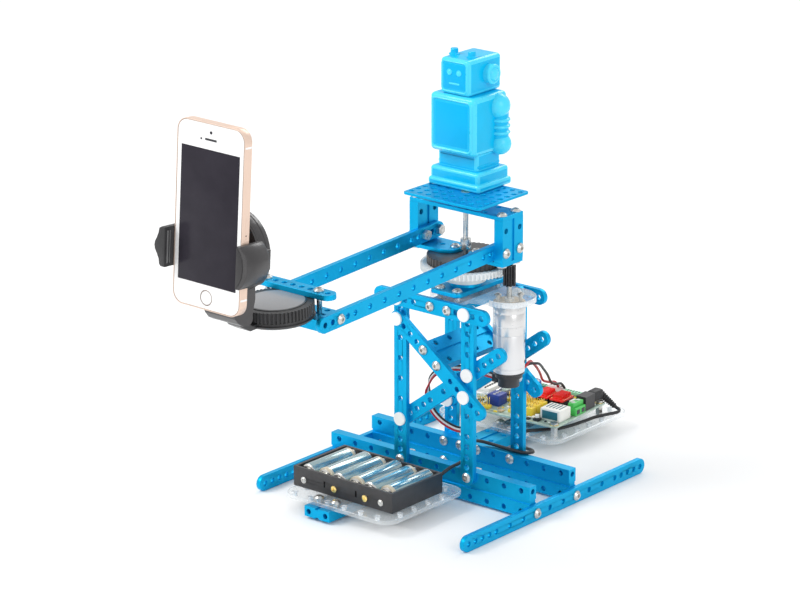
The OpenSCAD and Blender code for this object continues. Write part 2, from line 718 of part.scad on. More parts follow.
// The strain relief slopes down and outwards from the plug's body
module plug_relief() rotate([0, 133, 36])
    for (i = [0 : 6]) translate([0, 0, i * 2.5]) cylinder(r1 = 3.4 - 0.2 * i, r2 = 3.0 - 0.2 * i, h = 2.5);

// ---- head ----

module bearing_drum() color("whitesmoke") place() translate([shaft_x, shaft_y, drum_z]) difference() {
    cylinder(r = 15.5, h = gear_z - drum_z);
    translate([0, 0, -eps]) cylinder(r = shaft_r + 0.06, h = 20);
}

module drive_gear() color("white", 0.7) place() translate([shaft_x, shaft_y, gear_z]) difference() {
    linear_extrude(gear_t) rotate(pinion_azimuth + 180 / gear_teeth)
        polygon(gear_points(gear_teeth, 31.75, 32.7, 33.8, 0.26, 0.2, 0.12));
    translate([0, 0, -eps]) cylinder(r = shaft_r + 0.06, h = gear_t + 2 * eps);
    for (a = [0 : 60 : 300]) rotate([0, 0, a]) translate([23, 0, -eps]) cylinder(r = 4, h = gear_t + 2 * eps);
}

module gear_hub() color("#1d1d1f") place() translate([shaft_x, shaft_y, hub_z]) difference() {
    linear_extrude(bottom_plate_z - hub_z) polygon(ribbed_points(48, 28.2, 29));
    translate([0, 0, -eps]) cylinder(r = shaft_r + 0.06, h = 20);
    for (x = [-10, 10]) translate([x, 0, -eps]) cylinder(r = hole_r, h = 20);
}

module bottom_plates() color(blue) place()
    for (side = [-1, 1]) translate([shaft_x, shaft_y, bottom_plate_z]) scale([side, 1, 1]) bottom_plate();

module bottom_plate() difference() {
    linear_extrude(plate_t) union() {
        translate([17.2, -wide_w / 2]) square([head_half - 17.2, wide_w]);
        translate([17.2, 0]) circle(r = wide_w / 2);
    }
    for (x = [10, 22]) translate([x, 0, -eps]) cylinder(r = hole_r, h = plate_t + 2 * eps);
    for (y = [-pitch, pitch])
        translate([head_half - 4, y, -eps]) cylinder(r = hole_r, h = plate_t + 2 * eps);
}

module head_post(side) translate([shaft_x + side * (head_half - wide_t / 2), shaft_y, head_post_z])
    difference() {
        translate([wide_t / 2, 0, 0]) rotate([0, -90, 0]) wide_beam(head_post_h);
        for (y = [-pitch, pitch]) translate([-wide_t, y, arm_z - head_post_z])
            rotate([0, 90, 0]) cylinder(r = 2.45, h = 2 * wide_t);
    }

module head_posts() color(blue) place()
    for (side = [-1, 1]) head_post(side);

module head_top_plate() color(blue) place() translate([shaft_x, shaft_y, top_plate_z]) difference() {
    translate([-head_half, -wide_w / 2, 0]) cube([2 * head_half, wide_w, plate_t]);
    for (x = [-1, 1]) for (y = [-pitch, pitch])
        translate([x * (head_half - 4), y, -eps]) cylinder(r = hole_r, h = plate_t + 2 * eps);
    for (x = [-24, -8, 8, 24]) for (y = [-pitch, pitch])
        translate([x, y, -eps]) cylinder(r = hole_r, h = plate_t + 2 * eps);
    translate([0, 0, -eps]) cylinder(r = shaft_r + 0.06, h = plate_t + 2 * eps);
}

module arm_frame() translate([0, shaft_y, arm_z]) rotate([arm_droop, 0, 0])
    translate([0, -shaft_y, -arm_z]) children();

module left_arm() color(blue) place() arm_frame()
    translate([shaft_x - arm_gap - narrow_t, arm_y0, arm_z]) edge_beam_y(arm_len);

module right_arm() color(blue) place() arm_frame()
    translate([shaft_x + arm_gap, arm_y0, arm_z]) edge_beam_y(arm_len);

module arm_cross_beam() color(blue) place() arm_frame() difference() {
    translate([shaft_x - arm_gap, cross_y, arm_z - wide_t / 2]) wide_beam(2 * arm_gap);
    for (side = [-1, 1]) translate([shaft_x + side * clamp_screw_x, cross_y, arm_z - wide_t])
        cylinder(r = hole_r, h = 2 * wide_t);
}

module clamp_bar() color(blue) place() arm_frame()
    translate([shaft_x - 38, cross_y, clamp_bar_z]) narrow_beam(76);

module head_screws() color("silver") place() {
    for (x = [-1, 1]) for (y = [-pitch, pitch]) {
        at(shaft_x + x * (head_half - 4), shaft_y + y, top_plate_z + plate_t) screw(12);
        at(shaft_x + x * (head_half - 4), shaft_y + y, bottom_plate_z) rotate([180, 0, 0])
            intersection() {
                screw(12);
                translate([0, 0, -20]) cylinder(r = 3.8, h = 21);
            }
    }
    for (x = [-10, 10]) at(shaft_x + x, shaft_y, head_post_z) screw(9);
    arm_frame() {
        for (y = [-pitch, pitch]) {
            at(shaft_x + head_half, shaft_y + y, arm_z) screw_to(to_plus_x, 15.4);
            at(shaft_x - head_half, shaft_y + y, arm_z) screw_to(to_minus_x, 15.4);
        }
        at(shaft_x + arm_gap + narrow_t, cross_y + pitch, arm_z) screw_to(to_plus_x, 14);
        at(shaft_x - arm_gap - narrow_t, cross_y + pitch, arm_z) screw_to(to_minus_x, 14);
        for (side = [-1, 1])
            at(shaft_x + side * clamp_screw_x, cross_y, clamp_bar_z + narrow_t) screw(28);
    }
}

module head_nuts() color("silver") place() arm_frame() {
    for (y = [-pitch, pitch]) {
        at(shaft_x - arm_gap, shaft_y + y, arm_z) rotate(to_plus_x) nut();
        at(shaft_x + arm_gap, shaft_y + y, arm_z) rotate(to_minus_x) nut();
    }
    for (side = [-1, 1])
        at(shaft_x + side * clamp_screw_x, cross_y, arm_z - wide_t / 2) rotate([180, 0, 0]) nut();
}

// ---- suction cup and phone holder ----

ring_low_z = cup_z + 4.6;

module cup_base() color("#1b1b1d") place() arm_frame() difference() {
    lug_y = hinge_y - cup_y;
    translate([cup_x, cup_y, 0]) union() {
        translate([0, 0, cup_z]) cylinder(r1 = cup_r - 1.6, r2 = cup_r, h = 1.6);
        translate([0, 0, cup_z + 1.6]) cylinder(r = cup_r, h = 0.8);
        translate([0, 0, cup_z + 2.4]) cylinder(r = cup_r - 1.4, h = ring_low_z - cup_z - 2.7);
        translate([0, 0, ring_low_z - 0.3]) cylinder(r = 22, h = clamp_bar_z - ring_low_z + 0.3);
        translate([-lug_w / 2, lug_y, hinge_z]) rotate([0, 90, 0]) cylinder(r = lug_r, h = lug_w);
        translate([-lug_w / 2, lug_y, hinge_z]) rotate([90, 0, 90]) linear_extrude(lug_w)
            polygon([[-4.2, -1.2], [1, -8], [10, -13.5], [22.5, -13.5], [22.5, -10.2], [12, -10.2], [5, -4], [4.2, 1.2]]);
    }
    translate([cup_x - 20, hinge_y, hinge_z]) rotate([0, 90, 0]) cylinder(r = hinge_r + 0.02, h = 40);
    translate([cup_x, cup_y, cup_z - eps]) cylinder(r = 20, h = 2);
}

module cup_ring() color("#2a2a2c") place() arm_frame() translate([cup_x, cup_y, ring_low_z]) difference() {
    linear_extrude(clamp_bar_z - ring_low_z - 0.5) polygon(ribbed_points(60, 26.4, 27.4));
    translate([0, 0, -eps]) cylinder(r = 22.05, h = 20);
}

module hinge_pin() color("silver") place() arm_frame()
    translate([cup_x - pin_half, hinge_y, hinge_z]) rotate([0, 90, 0]) cylinder(r = hinge_r, h = 2 * pin_half);

module holder_frame() arm_frame() translate([cup_x, holder_y, holder_z])
    rotate([-phone_lean - arm_droop, 0, 0]) rotate([0, phone_roll, 0]) children();

// The round housing with its rest for the phone, and the neck down to the hinge pin
module holder_body() color("#1e1e20") place() {
    slot_gap = 0.3;
    fork_half = lug_w / 2 + slot_gap;
    tongue_hole = tongue_half + 0.3;
    holder_frame() difference() {
        union() {
            translate([0, housing_front, 0]) rotate([-90, 0, 0])
                cylinder(r = housing_r, h = housing_back - housing_front - 3, $fn = 96);
            translate([0, housing_back - 3, 0]) rotate([-90, 0, 0])
                cylinder(r1 = housing_r, r2 = housing_r - 5, h = 3, $fn = 96);
            translate([-rest_half, 0.2, -22]) cube([2 * rest_half, housing_front, 44]);
        }
        for (side = [-1, 1])
            translate([side > 0 ? 3 : -43, tongue_y - 0.3, -tongue_hole])
                cube([40, tongue_t + 0.6, 2 * tongue_hole]);
    }
    arm_frame() translate([cup_x - neck_half, 0, 0]) difference() {
        union() {
            translate([0, hinge_y, hinge_z]) rotate([0, 90, 0]) cylinder(r = lug_r, h = 2 * neck_half);
            rotate([90, 0, 90]) linear_extrude(2 * neck_half)
                polygon([[hinge_y, hinge_z - lug_r + 0.1], [-158, 209.8], [-162.5, 212.6], [-165.8, 217],
                         [-167.8, 222.5], [-168.4, 228], [-168.4, 240], [-144, 240], [-144.8, 226],
                         [-147.2, 219], [-148.4, 214.5]]);
        }
        translate([neck_half - pin_half - 0.3, hinge_y, hinge_z]) rotate([0, 90, 0])
            cylinder(r = hinge_r + 0.05, h = 2 * pin_half + 0.6);
        translate([neck_half - fork_half, hinge_y - lug_r - 0.5, hinge_z - 10])
            cube([2 * fork_half, 40, 17]);
    }
}

// One jaw, drawn for the side whose outside is +X: front and back are its depths along y,
// low and high its ends along z, and bulge is how far its outer side stands out in the middle
module jaw(front, low, high, bulge) {
    back = 10.6;
    tip_t = 2.6;
    half = (high - low) / 2;
    arc_r = (half * half + (bulge - tip_t) * (bulge - tip_t)) / (2 * (bulge - tip_t));
    difference() {
        intersection() {
            translate([jaw_x, front, low]) cube([bulge, back - front, 2 * half]);
            translate([jaw_x + bulge - arc_r, front - 1, low + half]) rotate([-90, 0, 0])
                cylinder(r = arc_r, h = back - front + 2, $fn = 96);
        }
        for (z = [low + 4 : 4 : high - 4])
            translate([jaw_x - 1, front + 2, z - 0.6]) cube([1.6, -front - 9.6, 1.2]);
    }
    translate([14, tongue_y, -tongue_half]) cube([jaw_x - 14 + 3, tongue_t, 2 * tongue_half]);
    translate([jaw_x, back - 4, -tongue_half]) cube([3, tongue_y + tongue_t - back + 4, 2 * tongue_half]);
}

module left_jaw() color("#19191b") place() holder_frame() scale([-1, 1, 1]) jaw(-17, -13, 16, 8);

module right_jaw() color("#19191b") place() holder_frame() jaw(-12.5, -16, 14, 10);

module phone_at() holder_frame() translate([-phone_w / 2, -0.2, phone_rise - phone_h / 2])
    rotate([90, 0, 0]) children();

front_t = 1.2;
button_r = 5.4;
button_lift = 8.6;

module phone_frame() color("#e3b9a4") place() phone_at() difference() {
    round_box([phone_w, phone_h, phone_t], 9);
    translate([1, 1, phone_t - front_t]) round_box([phone_w - 2, phone_h - 2, front_t + 1], 8);
    translate([phone_w / 2, button_lift, phone_t - 3]) cylinder(r = button_r + 0.15, h = 5);
}

module phone_front() color("white") place() phone_at() difference() {
    translate([1.05, 1.05, phone_t - front_t + 0.02]) round_box([phone_w - 2.1, phone_h - 2.1, front_t - 0.02], 7.95);
    translate([phone_w / 2, button_lift, phone_t - 3]) cylinder(r = button_r + 0.15, h = 5);
}

module home_button() color("#f5f2ef") place() phone_at()
    translate([phone_w / 2, button_lift, phone_t - 2.4]) cylinder(r = button_r, h = 2.3);

left_foot();
right_foot();
front_rail();
rear_rail();
tower_posts();
top_beams();
falling_braces();
rising_braces();
tie_beams();
battery_support_beam();
board_support_beam();
battery_tray();
board_tray();
battery_holder();
battery_cells();
battery_contacts();
circuit_board();
board_standoffs();
pin_headers();
driver_modules();
connector_blocks();
power_jack();
reset_button();
motor_plate();
bearing_plate();
motor_body();
motor_encoder();
motor_pinion();
center_shaft();
shaft_collars();
platform_plate();
toy_figure();
frame_screws();
frame_nuts();
frame_rivets();
power_lead();
power_plug();
motor_leads();
encoder_cable();
bearing_drum();
drive_gear();
gear_hub();
bottom_plates();
head_posts();
head_top_plate();
left_arm();
right_arm();
arm_cross_beam();
clamp_bar();
head_screws();
head_nuts();
cup_base();
cup_ring();
hinge_pin();
holder_body();
left_jaw();
right_jaw();
phone_frame();
phone_front();
home_button();
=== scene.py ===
"""Looks for the desktop robot arm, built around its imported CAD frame."""

import math
import random

import bmesh
import bpy
from mathutils import Matrix, Vector


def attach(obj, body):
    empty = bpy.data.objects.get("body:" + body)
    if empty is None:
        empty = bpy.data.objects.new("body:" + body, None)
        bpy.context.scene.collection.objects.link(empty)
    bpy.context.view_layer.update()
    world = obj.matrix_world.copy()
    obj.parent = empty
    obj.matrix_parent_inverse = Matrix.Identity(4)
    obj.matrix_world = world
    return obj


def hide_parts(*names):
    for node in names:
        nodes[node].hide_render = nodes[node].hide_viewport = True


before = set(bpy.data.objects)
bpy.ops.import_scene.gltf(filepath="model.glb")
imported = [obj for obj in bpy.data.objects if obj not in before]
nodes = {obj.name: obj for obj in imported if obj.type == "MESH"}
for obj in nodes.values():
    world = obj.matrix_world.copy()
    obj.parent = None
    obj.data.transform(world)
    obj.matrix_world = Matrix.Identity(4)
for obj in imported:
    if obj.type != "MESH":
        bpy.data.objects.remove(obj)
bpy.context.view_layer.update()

# ---- frames shared with the CAD, in millimetres until GROUND scales them ----
ORIGIN_X, ORIGIN_Y = 96, 54.775
DROOP, LEAN, PHONE_ROLL = 2.4, 3.3, 0.7
PHONE_W, PHONE_H, PHONE_T, PHONE_RISE = 61.5, 130, 7.2, 27.1


def shift(x, y, z):
    return Matrix.Translation((x, y, z))


def turn(degrees, axis):
    return Matrix.Rotation(math.radians(degrees), 4, axis)


GROUND = Matrix.Scale(0.001, 4) @ shift(-ORIGIN_X, -ORIGIN_Y, 0)
ARM = GROUND @ shift(0, 106, 195.3) @ turn(DROOP, "X") @ shift(0, -106, -195.3)
HOLDER = ARM @ shift(116, -168.2, 262) @ turn(-LEAN - DROOP, "X") @ turn(PHONE_ROLL, "Y")
PHONE = HOLDER @ shift(-PHONE_W / 2, -0.2, PHONE_RISE - PHONE_H / 2) @ turn(90, "X")
BOARD_TOP = 22.6
BOARD = GROUND @ shift(70, 239, BOARD_TOP) @ turn(4, "Z")
MOTOR_X, MOTOR_Y = 148.544, 111.788
MOTOR = GROUND @ shift(MOTOR_X, MOTOR_Y, 0)
FIGURE = GROUND @ shift(101, 119.5, 232.5)


# ---- materials ----
def material(name, color, rough=0.45, metal=0.0, vary=0.08, grain=900.0, bump=0.15, coat=0.0,
             alpha=1.0, stretch=(1, 1, 1), patch=45.0, rough_vary=0.12, specular=0.5, sheen=0.0):
    """A surface whose colour drifts in patches, and whose gloss and relief follow a fine grain."""
    mat = bpy.data.materials.new(name)
    mat.use_nodes = True
    tree = mat.node_tree
    make, link = tree.nodes.new, tree.links.new
    shader = tree.nodes["Principled BSDF"]
    coords = make("ShaderNodeTexCoord")
    mapping = make("ShaderNodeMapping")
    mapping.inputs["Scale"].default_value = stretch
    link(coords.outputs["Object"], mapping.inputs["Vector"])
    broad = make("ShaderNodeTexNoise")
    broad.inputs["Scale"].default_value = patch
    broad.inputs["Detail"].default_value = 4
    link(coords.outputs["Object"], broad.inputs["Vector"])
    fine = make("ShaderNodeTexNoise")
    fine.inputs["Scale"].default_value = grain
    fine.inputs["Detail"].default_value = 3
    link(mapping.outputs["Vector"], fine.inputs["Vector"])
    ramp = make("ShaderNodeValToRGB")
    ramp.color_ramp.elements[0].position = 0.3
    ramp.color_ramp.elements[1].position = 0.7
    ramp.color_ramp.elements[0].color = [c * (1 - vary) for c in color[:3]] + [1]
    ramp.color_ramp.elements[1].color = [min(1, c * (1 + vary) + vary * 0.02) for c in color[:3]] + [1]
    link(broad.outputs["Fac"], ramp.inputs["Fac"])
    link(ramp.outputs["Color"], shader.inputs["Base Color"])
    gloss = make("ShaderNodeMapRange")
    gloss.inputs["To Min"].default_value = max(0.02, rough - rough_vary)
    gloss.inputs["To Max"].default_value = min(1, rough + rough_vary)
    link(fine.outputs["Fac"], gloss.inputs["Value"])
    link(gloss.outputs["Result"], shader.inputs["Roughness"])
    relief = make("ShaderNodeBump")
    relief.inputs["Strength"].default_value = bump
    relief.inputs["Distance"].default_value = 0.0002
    link(fine.outputs["Fac"], relief.inputs["Height"])
    link(relief.outputs["Normal"], shader.inputs["Normal"])
    shader.inputs["Metallic"].default_value = metal
    shader.inputs["Coat Weight"].default_value = coat
    shader.inputs["Coat Roughness"].default_value = 0.12
    shader.inputs["Alpha"].default_value = alpha
    shader.inputs["Specular IOR Level"].default_value = specular
    shader.inputs["Sheen Weight"].default_value = sheen
    return mat


def round_mask(mat, centre, radius, inner_color):
    """Gives mat another colour inside a vertical cylinder."""
    tree = mat.node_tree
    make, link = tree.nodes.new, tree.links.new
    shader = tree.nodes["Principled BSDF"]
    coords = make("ShaderNodeTexCoord")
    flat = make("ShaderNodeVectorMath")
    flat.operation = "MULTIPLY"
    flat.inputs[1].default_value = (1, 1, 0)
    link(coords.outputs["Object"], flat.inputs[0])
    gap = make("ShaderNodeVectorMath")
    gap.operation = "DISTANCE"
    gap.inputs[1].default_value = (centre[0], centre[1], 0)
    link(flat.outputs["Vector"], gap.inputs[0])
    inside = make("ShaderNodeMath")
    inside.operation = "LESS_THAN"
    inside.inputs[1].default_value = radius
    link(gap.outputs["Value"], inside.inputs[0])
    mix = make("ShaderNodeMix")
    mix.data_type = "RGBA"
    link(inside.outputs["Value"], mix.inputs["Factor"])
    old = shader.inputs["Base Color"].links[0].from_socket
    link(old, mix.inputs["A"])
    mix.inputs["B"].default_value = (*inner_color, 1)
    link(mix.outputs["Result"], shader.inputs["Base Color"])


BLUE = material("anodised_blue", (0.003, 0.42, 0.75), 0.42, 0.82, 0.04, 1400, 0.1, specular=0.2)
CLEAR = material("clear_acrylic", (0.9, 0.95, 0.97), 0.1, 0, 0.03, 260, 0.3, 0.4, 0.26, patch=70)
STEEL = material("zinc_steel", (0.62, 0.62, 0.6), 0.3, 0.95, 0.12, 700, 0.15)
NYLON = material("white_nylon", (0.86, 0.87, 0.86), 0.5, 0, 0.04, 500, 0.1)
GEAR = material("gear_nylon", (0.8, 0.82, 0.82), 0.4, 0, 0.05, 500, 0.1, 0.2)
BLACK = material("moulded_black", (0.026, 0.025, 0.027), 0.42, 0, 0.2, 1500, 0.25, 0.1, patch=80)
HOLDER_BLACK = material("holder_plastic", (0.034, 0.032, 0.034), 0.34, 0, 0.15, 1300, 0.2, 0.2, patch=80)
# Whitish rings and beads on the clear acrylic's cut edges and hole edges: a painted highlight
EDGE_GLINT = material("painted_edge_glint", (0.8, 0.84, 0.87), 0.12, 0.3, 0.06, 300, 0.05, 0.5, 0.8)
CUP = material("cup_black", (0.02, 0.02, 0.022), 0.35, 0, 0.25, 1200, 0.25, 0.2, patch=80)
RUBBER = material("soft_rubber", (0.022, 0.022, 0.024), 0.55, 0, 0.2, 1100, 0.45, sheen=0.1)
CAN = material("motor_can", (0.78, 0.78, 0.79), 0.34, 0.6, 0.015, 500, 0.01, patch=20, rough_vary=0.02)
GEARBOX = material("gearbox_steel", (0.74, 0.74, 0.74), 0.28, 0.75, 0.015, 420, 0.01, patch=20,
                   rough_vary=0.02)
TAN = material("gearbox_front", (0.66, 0.52, 0.33), 0.4, 0.6, 0.08, 600, 0.1)
DARK_STEEL = material("black_steel", (0.05, 0.05, 0.055), 0.3, 0.7, 0.2, 800, 0.15)
SLEEVE = material("cell_sleeve", (0.34, 0.47, 0.49), 0.16, 0.75, 0.08, 300, 0.02, 0.6, patch=60)
CREAM = material("cell_cream", (0.62, 0.55, 0.42), 0.3, 0.2, 0.06, 300, 0.03, 0.4)
SILVER = material("cell_silver", (0.82, 0.85, 0.86), 0.16, 0.9, 0.06, 400, 0.04, 0.5)
NICKEL = material("nickel", (0.7, 0.69, 0.66), 0.22, 1, 0.1, 700, 0.1)
PCB = material("solder_mask", (0.38, 0.5, 0.42), 0.35, 0, 0.25, 420, 0.35, 0.3, patch=260)
YELLOW = material("header_yellow", (0.85, 0.62, 0.05), 0.4, 0, 0.08, 500, 0.15)
GOLD = material("gold_pins", (0.9, 0.68, 0.25), 0.25, 1, 0.1, 600, 0.1)
RED = material("module_red", (0.8, 0.012, 0.01), 0.3, 0, 0.12, 420, 0.15, 0.2)
WHITE = material("connector_white", (0.84, 0.83, 0.78), 0.42, 0, 0.05, 500, 0.12)
GREEN = material("terminal_green", (0.06, 0.5, 0.09), 0.4, 0, 0.08, 500, 0.15, 0.1)
PALE_GREEN = material("strip_green", (0.32, 0.72, 0.45), 0.4, 0, 0.08, 500, 0.15)
TEAL = material("socket_teal", (0.02, 0.14, 0.18), 0.35, 0, 0.1, 500, 0.12)
DEEP_BLUE = material("connector_blue", (0.015, 0.05, 0.3), 0.35, 0, 0.1, 500, 0.12)
TOY = material("toy_blue", (0.0, 0.5, 0.84), 0.34, 0, 0.03, 260, 0.05, 0.15, patch=60, specular=0.2)
# Lighter cyan for rounded edges and round parts: a painted highlight where they catch the light
TOY_HIGHLIGHT = material("toy_painted_highlight", (0.06, 0.68, 0.93), 0.3, 0, 0.04, 260, 0.05, 0.25,
                    patch=60, specular=0.3)
# Darker blue for the recessed chest and face panels: painted shade
TOY_RECESS_SHADE = material("toy_recess_painted_shade", (0.0, 0.44, 0.83), 0.38, 0, 0.03, 300, 0.05, specular=0.15)
CHAMPAGNE = material("phone_gold", (0.8, 0.61, 0.5), 0.38, 0.35, 0.03, 1800, 0.06, specular=0.3)
CHAMFER = material("phone_chamfer", (0.34, 0.27, 0.23), 0.3, 0.5, 0.05, 900, 0.05)
PHONE_WHITE = material("phone_white", (0.9, 0.9, 0.9), 0.08, 0, 0.01, 300, 0.01, 0.8, rough_vary=0.03)
SCREEN = material("phone_screen", (0.03, 0.027, 0.036), 0.2, 0, 0.1, 200, 0.01, rough_vary=0.04,
                  specular=0.08)
# Near-black for the holder's grooves: painted shade
GROOVE_SHADE = material("slot_shadow", (0.002, 0.002, 0.002), 0.8, 0, 0.1, 600, 0.1, specular=0.05)
# Grey for strips on the left jaw's inner pad: a painted highlight
PAD_HIGHLIGHT = material("painted_pad_highlight", (0.16, 0.16, 0.165), 0.4, 0, 0.15, 900, 0.2)
JACKET = material("cable_black", (0.02, 0.02, 0.022), 0.5, 0, 0.2, 900, 0.3)
RED_WIRE = material("wire_red", (0.5, 0.02, 0.03), 0.42, 0, 0.1, 900, 0.2)
WHITE_WIRE = material("wire_white", (0.82, 0.8, 0.78), 0.42, 0, 0.06, 900, 0.2)
FLOOR = material("studio_floor", (0.93, 0.93, 0.93), 0.75, 0, 0.005, 60, 0.02, patch=2, rough_vary=0.05)

cup_axis = ARM @ Vector((116, -109.5, 205))
round_mask(CUP, cup_axis, 0.0205, (0.3, 0.3, 0.31))

CAD_LOOKS = {
    BLUE: "left_foot right_foot front_rail rear_rail tower_posts top_beams falling_braces rising_braces"
    " tie_beams battery_support_beam board_support_beam bearing_plate platform_plate bottom_plates"
    " head_posts head_top_plate left_arm right_arm arm_cross_beam clamp_bar",
    CLEAR: "battery_tray board_tray motor_plate",
    STEEL: "frame_screws frame_nuts head_screws head_nuts center_shaft shaft_collars hinge_pin"
    " board_standoffs",
    NYLON: "frame_rivets bearing_drum",
    GEAR: "drive_gear",
    BLACK: "gear_hub battery_holder power_jack motor_encoder",
    HOLDER_BLACK: "holder_body right_jaw",
    CUP: "cup_base",
    RUBBER: "cup_ring",
    DARK_STEEL: "motor_pinion",
    NICKEL: "battery_contacts",
    PCB: "circuit_board",
    WHITE: "reset_button",
    CHAMPAGNE: "phone_frame",
    PHONE_WHITE: "phone_front",
}
EDGE_MM = {"holder_body": 3, "right_jaw": 1.4, "battery_holder": 0.3, "cup_base": 0.4,
           "cup_ring": 0.15, "phone_frame": 0.5, "phone_front": 0.12, "frame_rivets": 0.35,
           "battery_tray": 0.4, "board_tray": 0.4, "motor_plate": 0.4, "motor_pinion": 0.12,
           "drive_gear": 0.15, "gear_hub": 0.2, "platform_plate": 0.25}
DEFAULT_EDGE_MM = 0.3
for mat, names in CAD_LOOKS.items():
    for name in names.split():
        node = nodes[name]
        node.data.materials.clear()
        node.data.materials.append(mat)
        weld = node.modifiers.new("weld", "WELD")
        weld.merge_threshold = 0.000002
        edge = node.modifiers.new("edge", "BEVEL")
        edge.width = EDGE_MM.get(name, DEFAULT_EDGE_MM) / 1000
        edge.segments = 2
        edge.limit_method = "ANGLE"
        edge.angle_limit = math.radians(42)
        edge.use_clamp_overlap = True
        edge.harden_normals = True


# ---- mesh building ----
class Piece:
    """A mesh gathered from boxes, plates, borders and turned shapes, in millimetres of a local frame."""

    def __init__(self, name):
        self.name = name
        self.mesh = bmesh.new()
        self.mats = []

    def add(self, part, mat, where, rim=None):
        """Moves part into the mesh; its faces of material index 1 get the rim material."""
        looks = (mat, rim or mat)
        for look in looks:
            if look not in self.mats:
                self.mats.append(look)
        bmesh.ops.transform(part, matrix=where, verts=part.verts)
        bmesh.ops.recalc_face_normals(part, faces=part.faces)
        made = [self.mesh.verts.new(v.co) for v in part.verts]
        part.verts.index_update()
        for face in part.faces:
            new = self.mesh.faces.new([made[v.index] for v in face.verts])
            new.material_index = self.mats.index(looks[face.material_index])
            new.smooth = True
        part.free()

    def box(self, size, centre, mat, where, edge=0.5, segments=3, rim=None):
        """A box with rounded edges, which take the rim material where one is given."""
        part = bmesh.new()
        bmesh.ops.create_cube(part, size=1)
        bmesh.ops.scale(part, vec=size, verts=part.verts)
        limit = min(size) * 0.48
        if edge > 0:
            rounded = bmesh.ops.bevel(part, geom=part.edges[:], offset=min(edge, limit), segments=segments,
                                      profile=0.5, affect="EDGES")["faces"]
            for face in rounded:
                face.material_index = 1
        bmesh.ops.translate(part, vec=centre, verts=part.verts)
        self.add(part, mat, where, rim)

    def slab(self, outline, low, high, mat, where, edge=0.5, segments=3):
        """A rounded plate: the outline lies in local X and Z, and runs from low to high along Y."""
        part = bmesh.new()
        near = part.faces.new([part.verts.new((x, low, z)) for x, z in outline])
        far = bmesh.ops.extrude_face_region(part, geom=[near])["geom"]
        moved = [v for v in far if isinstance(v, bmesh.types.BMVert)]
        bmesh.ops.translate(part, vec=(0, high - low, 0), verts=moved)
        rim = [e for e in part.edges if abs(e.verts[0].co.y - e.verts[1].co.y) < 1e-6]
        bmesh.ops.bevel(part, geom=rim, offset=edge, segments=segments, profile=0.5, affect="EDGES")
        self.add(part, mat, where)

    def border(self, wide, tall, corner, bar, height, mat, where):
        """A rounded rectangular bead that stands on the local XY plane."""
        loop = []
        steps = 8
        for quarter in range(4):
            x = (wide / 2 - corner) * (1, -1, -1, 1)[quarter]
            y = (tall / 2 - corner) * (1, 1, -1, -1)[quarter]
            for k in range(steps + 1):
                a = math.pi / 2 * (quarter + k / steps)
                loop.append(Vector((x + corner * math.cos(a), y + corner * math.sin(a))))
        section = ((0.6, -0.4), (0.3, 0.5), (-0.2, 1), (-0.7, 0.5), (-1, -0.4))
        part = bmesh.new()
        rings = []
        for i, spot in enumerate(loop):
            along = (loop[(i + 1) % len(loop)] - loop[i - 1]).normalized()
            out = Vector((along.y, -along.x)) * bar
            rings.append([part.verts.new((spot.x + out.x * a, spot.y + out.y * a, b * height))
                          for a, b in section])
        for i, ring in enumerate(rings):
            ahead = rings[(i + 1) % len(rings)]
            for k in range(len(section)):
                n = (k + 1) % len(section)
                part.faces.new([ring[k], ring[n], ahead[n], ahead[k]])
        self.add(part, mat, where)

    def turned(self, profile, mat, where, sides=40, caps=True):
        """profile is a list of (radius, height); the shape is turned about its local Z."""
        part = bmesh.new()
        rings = []
        for radius, height in profile:
            if radius < 1e-6:
                rings.append([part.verts.new((0, 0, height))])
            else:
                rings.append([part.verts.new((radius * math.cos(a), radius * math.sin(a), height))
                              for a in (2 * math.pi * k / sides for k in range(sides))])
        for a, b in zip(rings, rings[1:]):
            for k in range(sides):
                n = (k + 1) % sides
                ring = [a[k % len(a)], a[n % len(a)], b[n % len(b)], b[k % len(b)]]
                corners = list(dict.fromkeys(ring))
                if len(corners) > 2:
                    part.faces.new(corners)
        for ring, radius in ((rings[0], profile[0][0]), (rings[-1], profile[-1][0])):
            if caps and radius > 1e-6:
                part.faces.new(ring)
        self.add(part, mat, where)

    def done(self, body, replaces=(), sharp=38):
        """Makes the object; edges that turn more than sharp degrees are shaded as edges."""
        mesh = bpy.data.meshes.new(self.name)
        self.mesh.to_mesh(mesh)
        self.mesh.free()
        for mat in self.mats:
            mesh.materials.append(mat)
        mesh.set_sharp_from_angle(angle=math.radians(sharp))
        made = bpy.data.objects.new(self.name, mesh)
        bpy.context.scene.collection.objects.link(made)
        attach(made, body)
        if replaces:
            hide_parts(*replaces)
        return made


def ball(radius, rings=10):
    """Profile of a ball, from its lowest point to its highest."""
    steps = [-math.pi / 2 + math.pi * i / rings for i in range(rings + 1)]
    return [(radius * math.cos(t), radius * math.sin(t)) for t in steps]


# ---- phone ----
phone = Piece("phone_details")
GLASS_Z = PHONE_T + 0.02
# Front: screen, earpiece slot, camera and sensor
phone.box((53, 94, 0.12), (PHONE_W / 2 + 0.1, 64.6, GLASS_Z), SCREEN, PHONE, 0.3, 2)
phone.box((10.5, 1.5, 0.12), (PHONE_W / 2, 118.4, GLASS_Z), DARK_STEEL, PHONE, 0.7, 4)
phone.turned([(0, 0), (1.1, 0), (1.1, 0.1), (0.6, 0.12), (0, 0.12)], SCREEN,
             PHONE @ shift(PHONE_W / 2, 123.4, PHONE_T - 0.04), 24)
phone.turned([(0, 0), (0.8, 0), (0.8, 0.1), (0, 0.1)], SCREEN, PHONE @ shift(22, 118.2, PHONE_T - 0.04), 20)
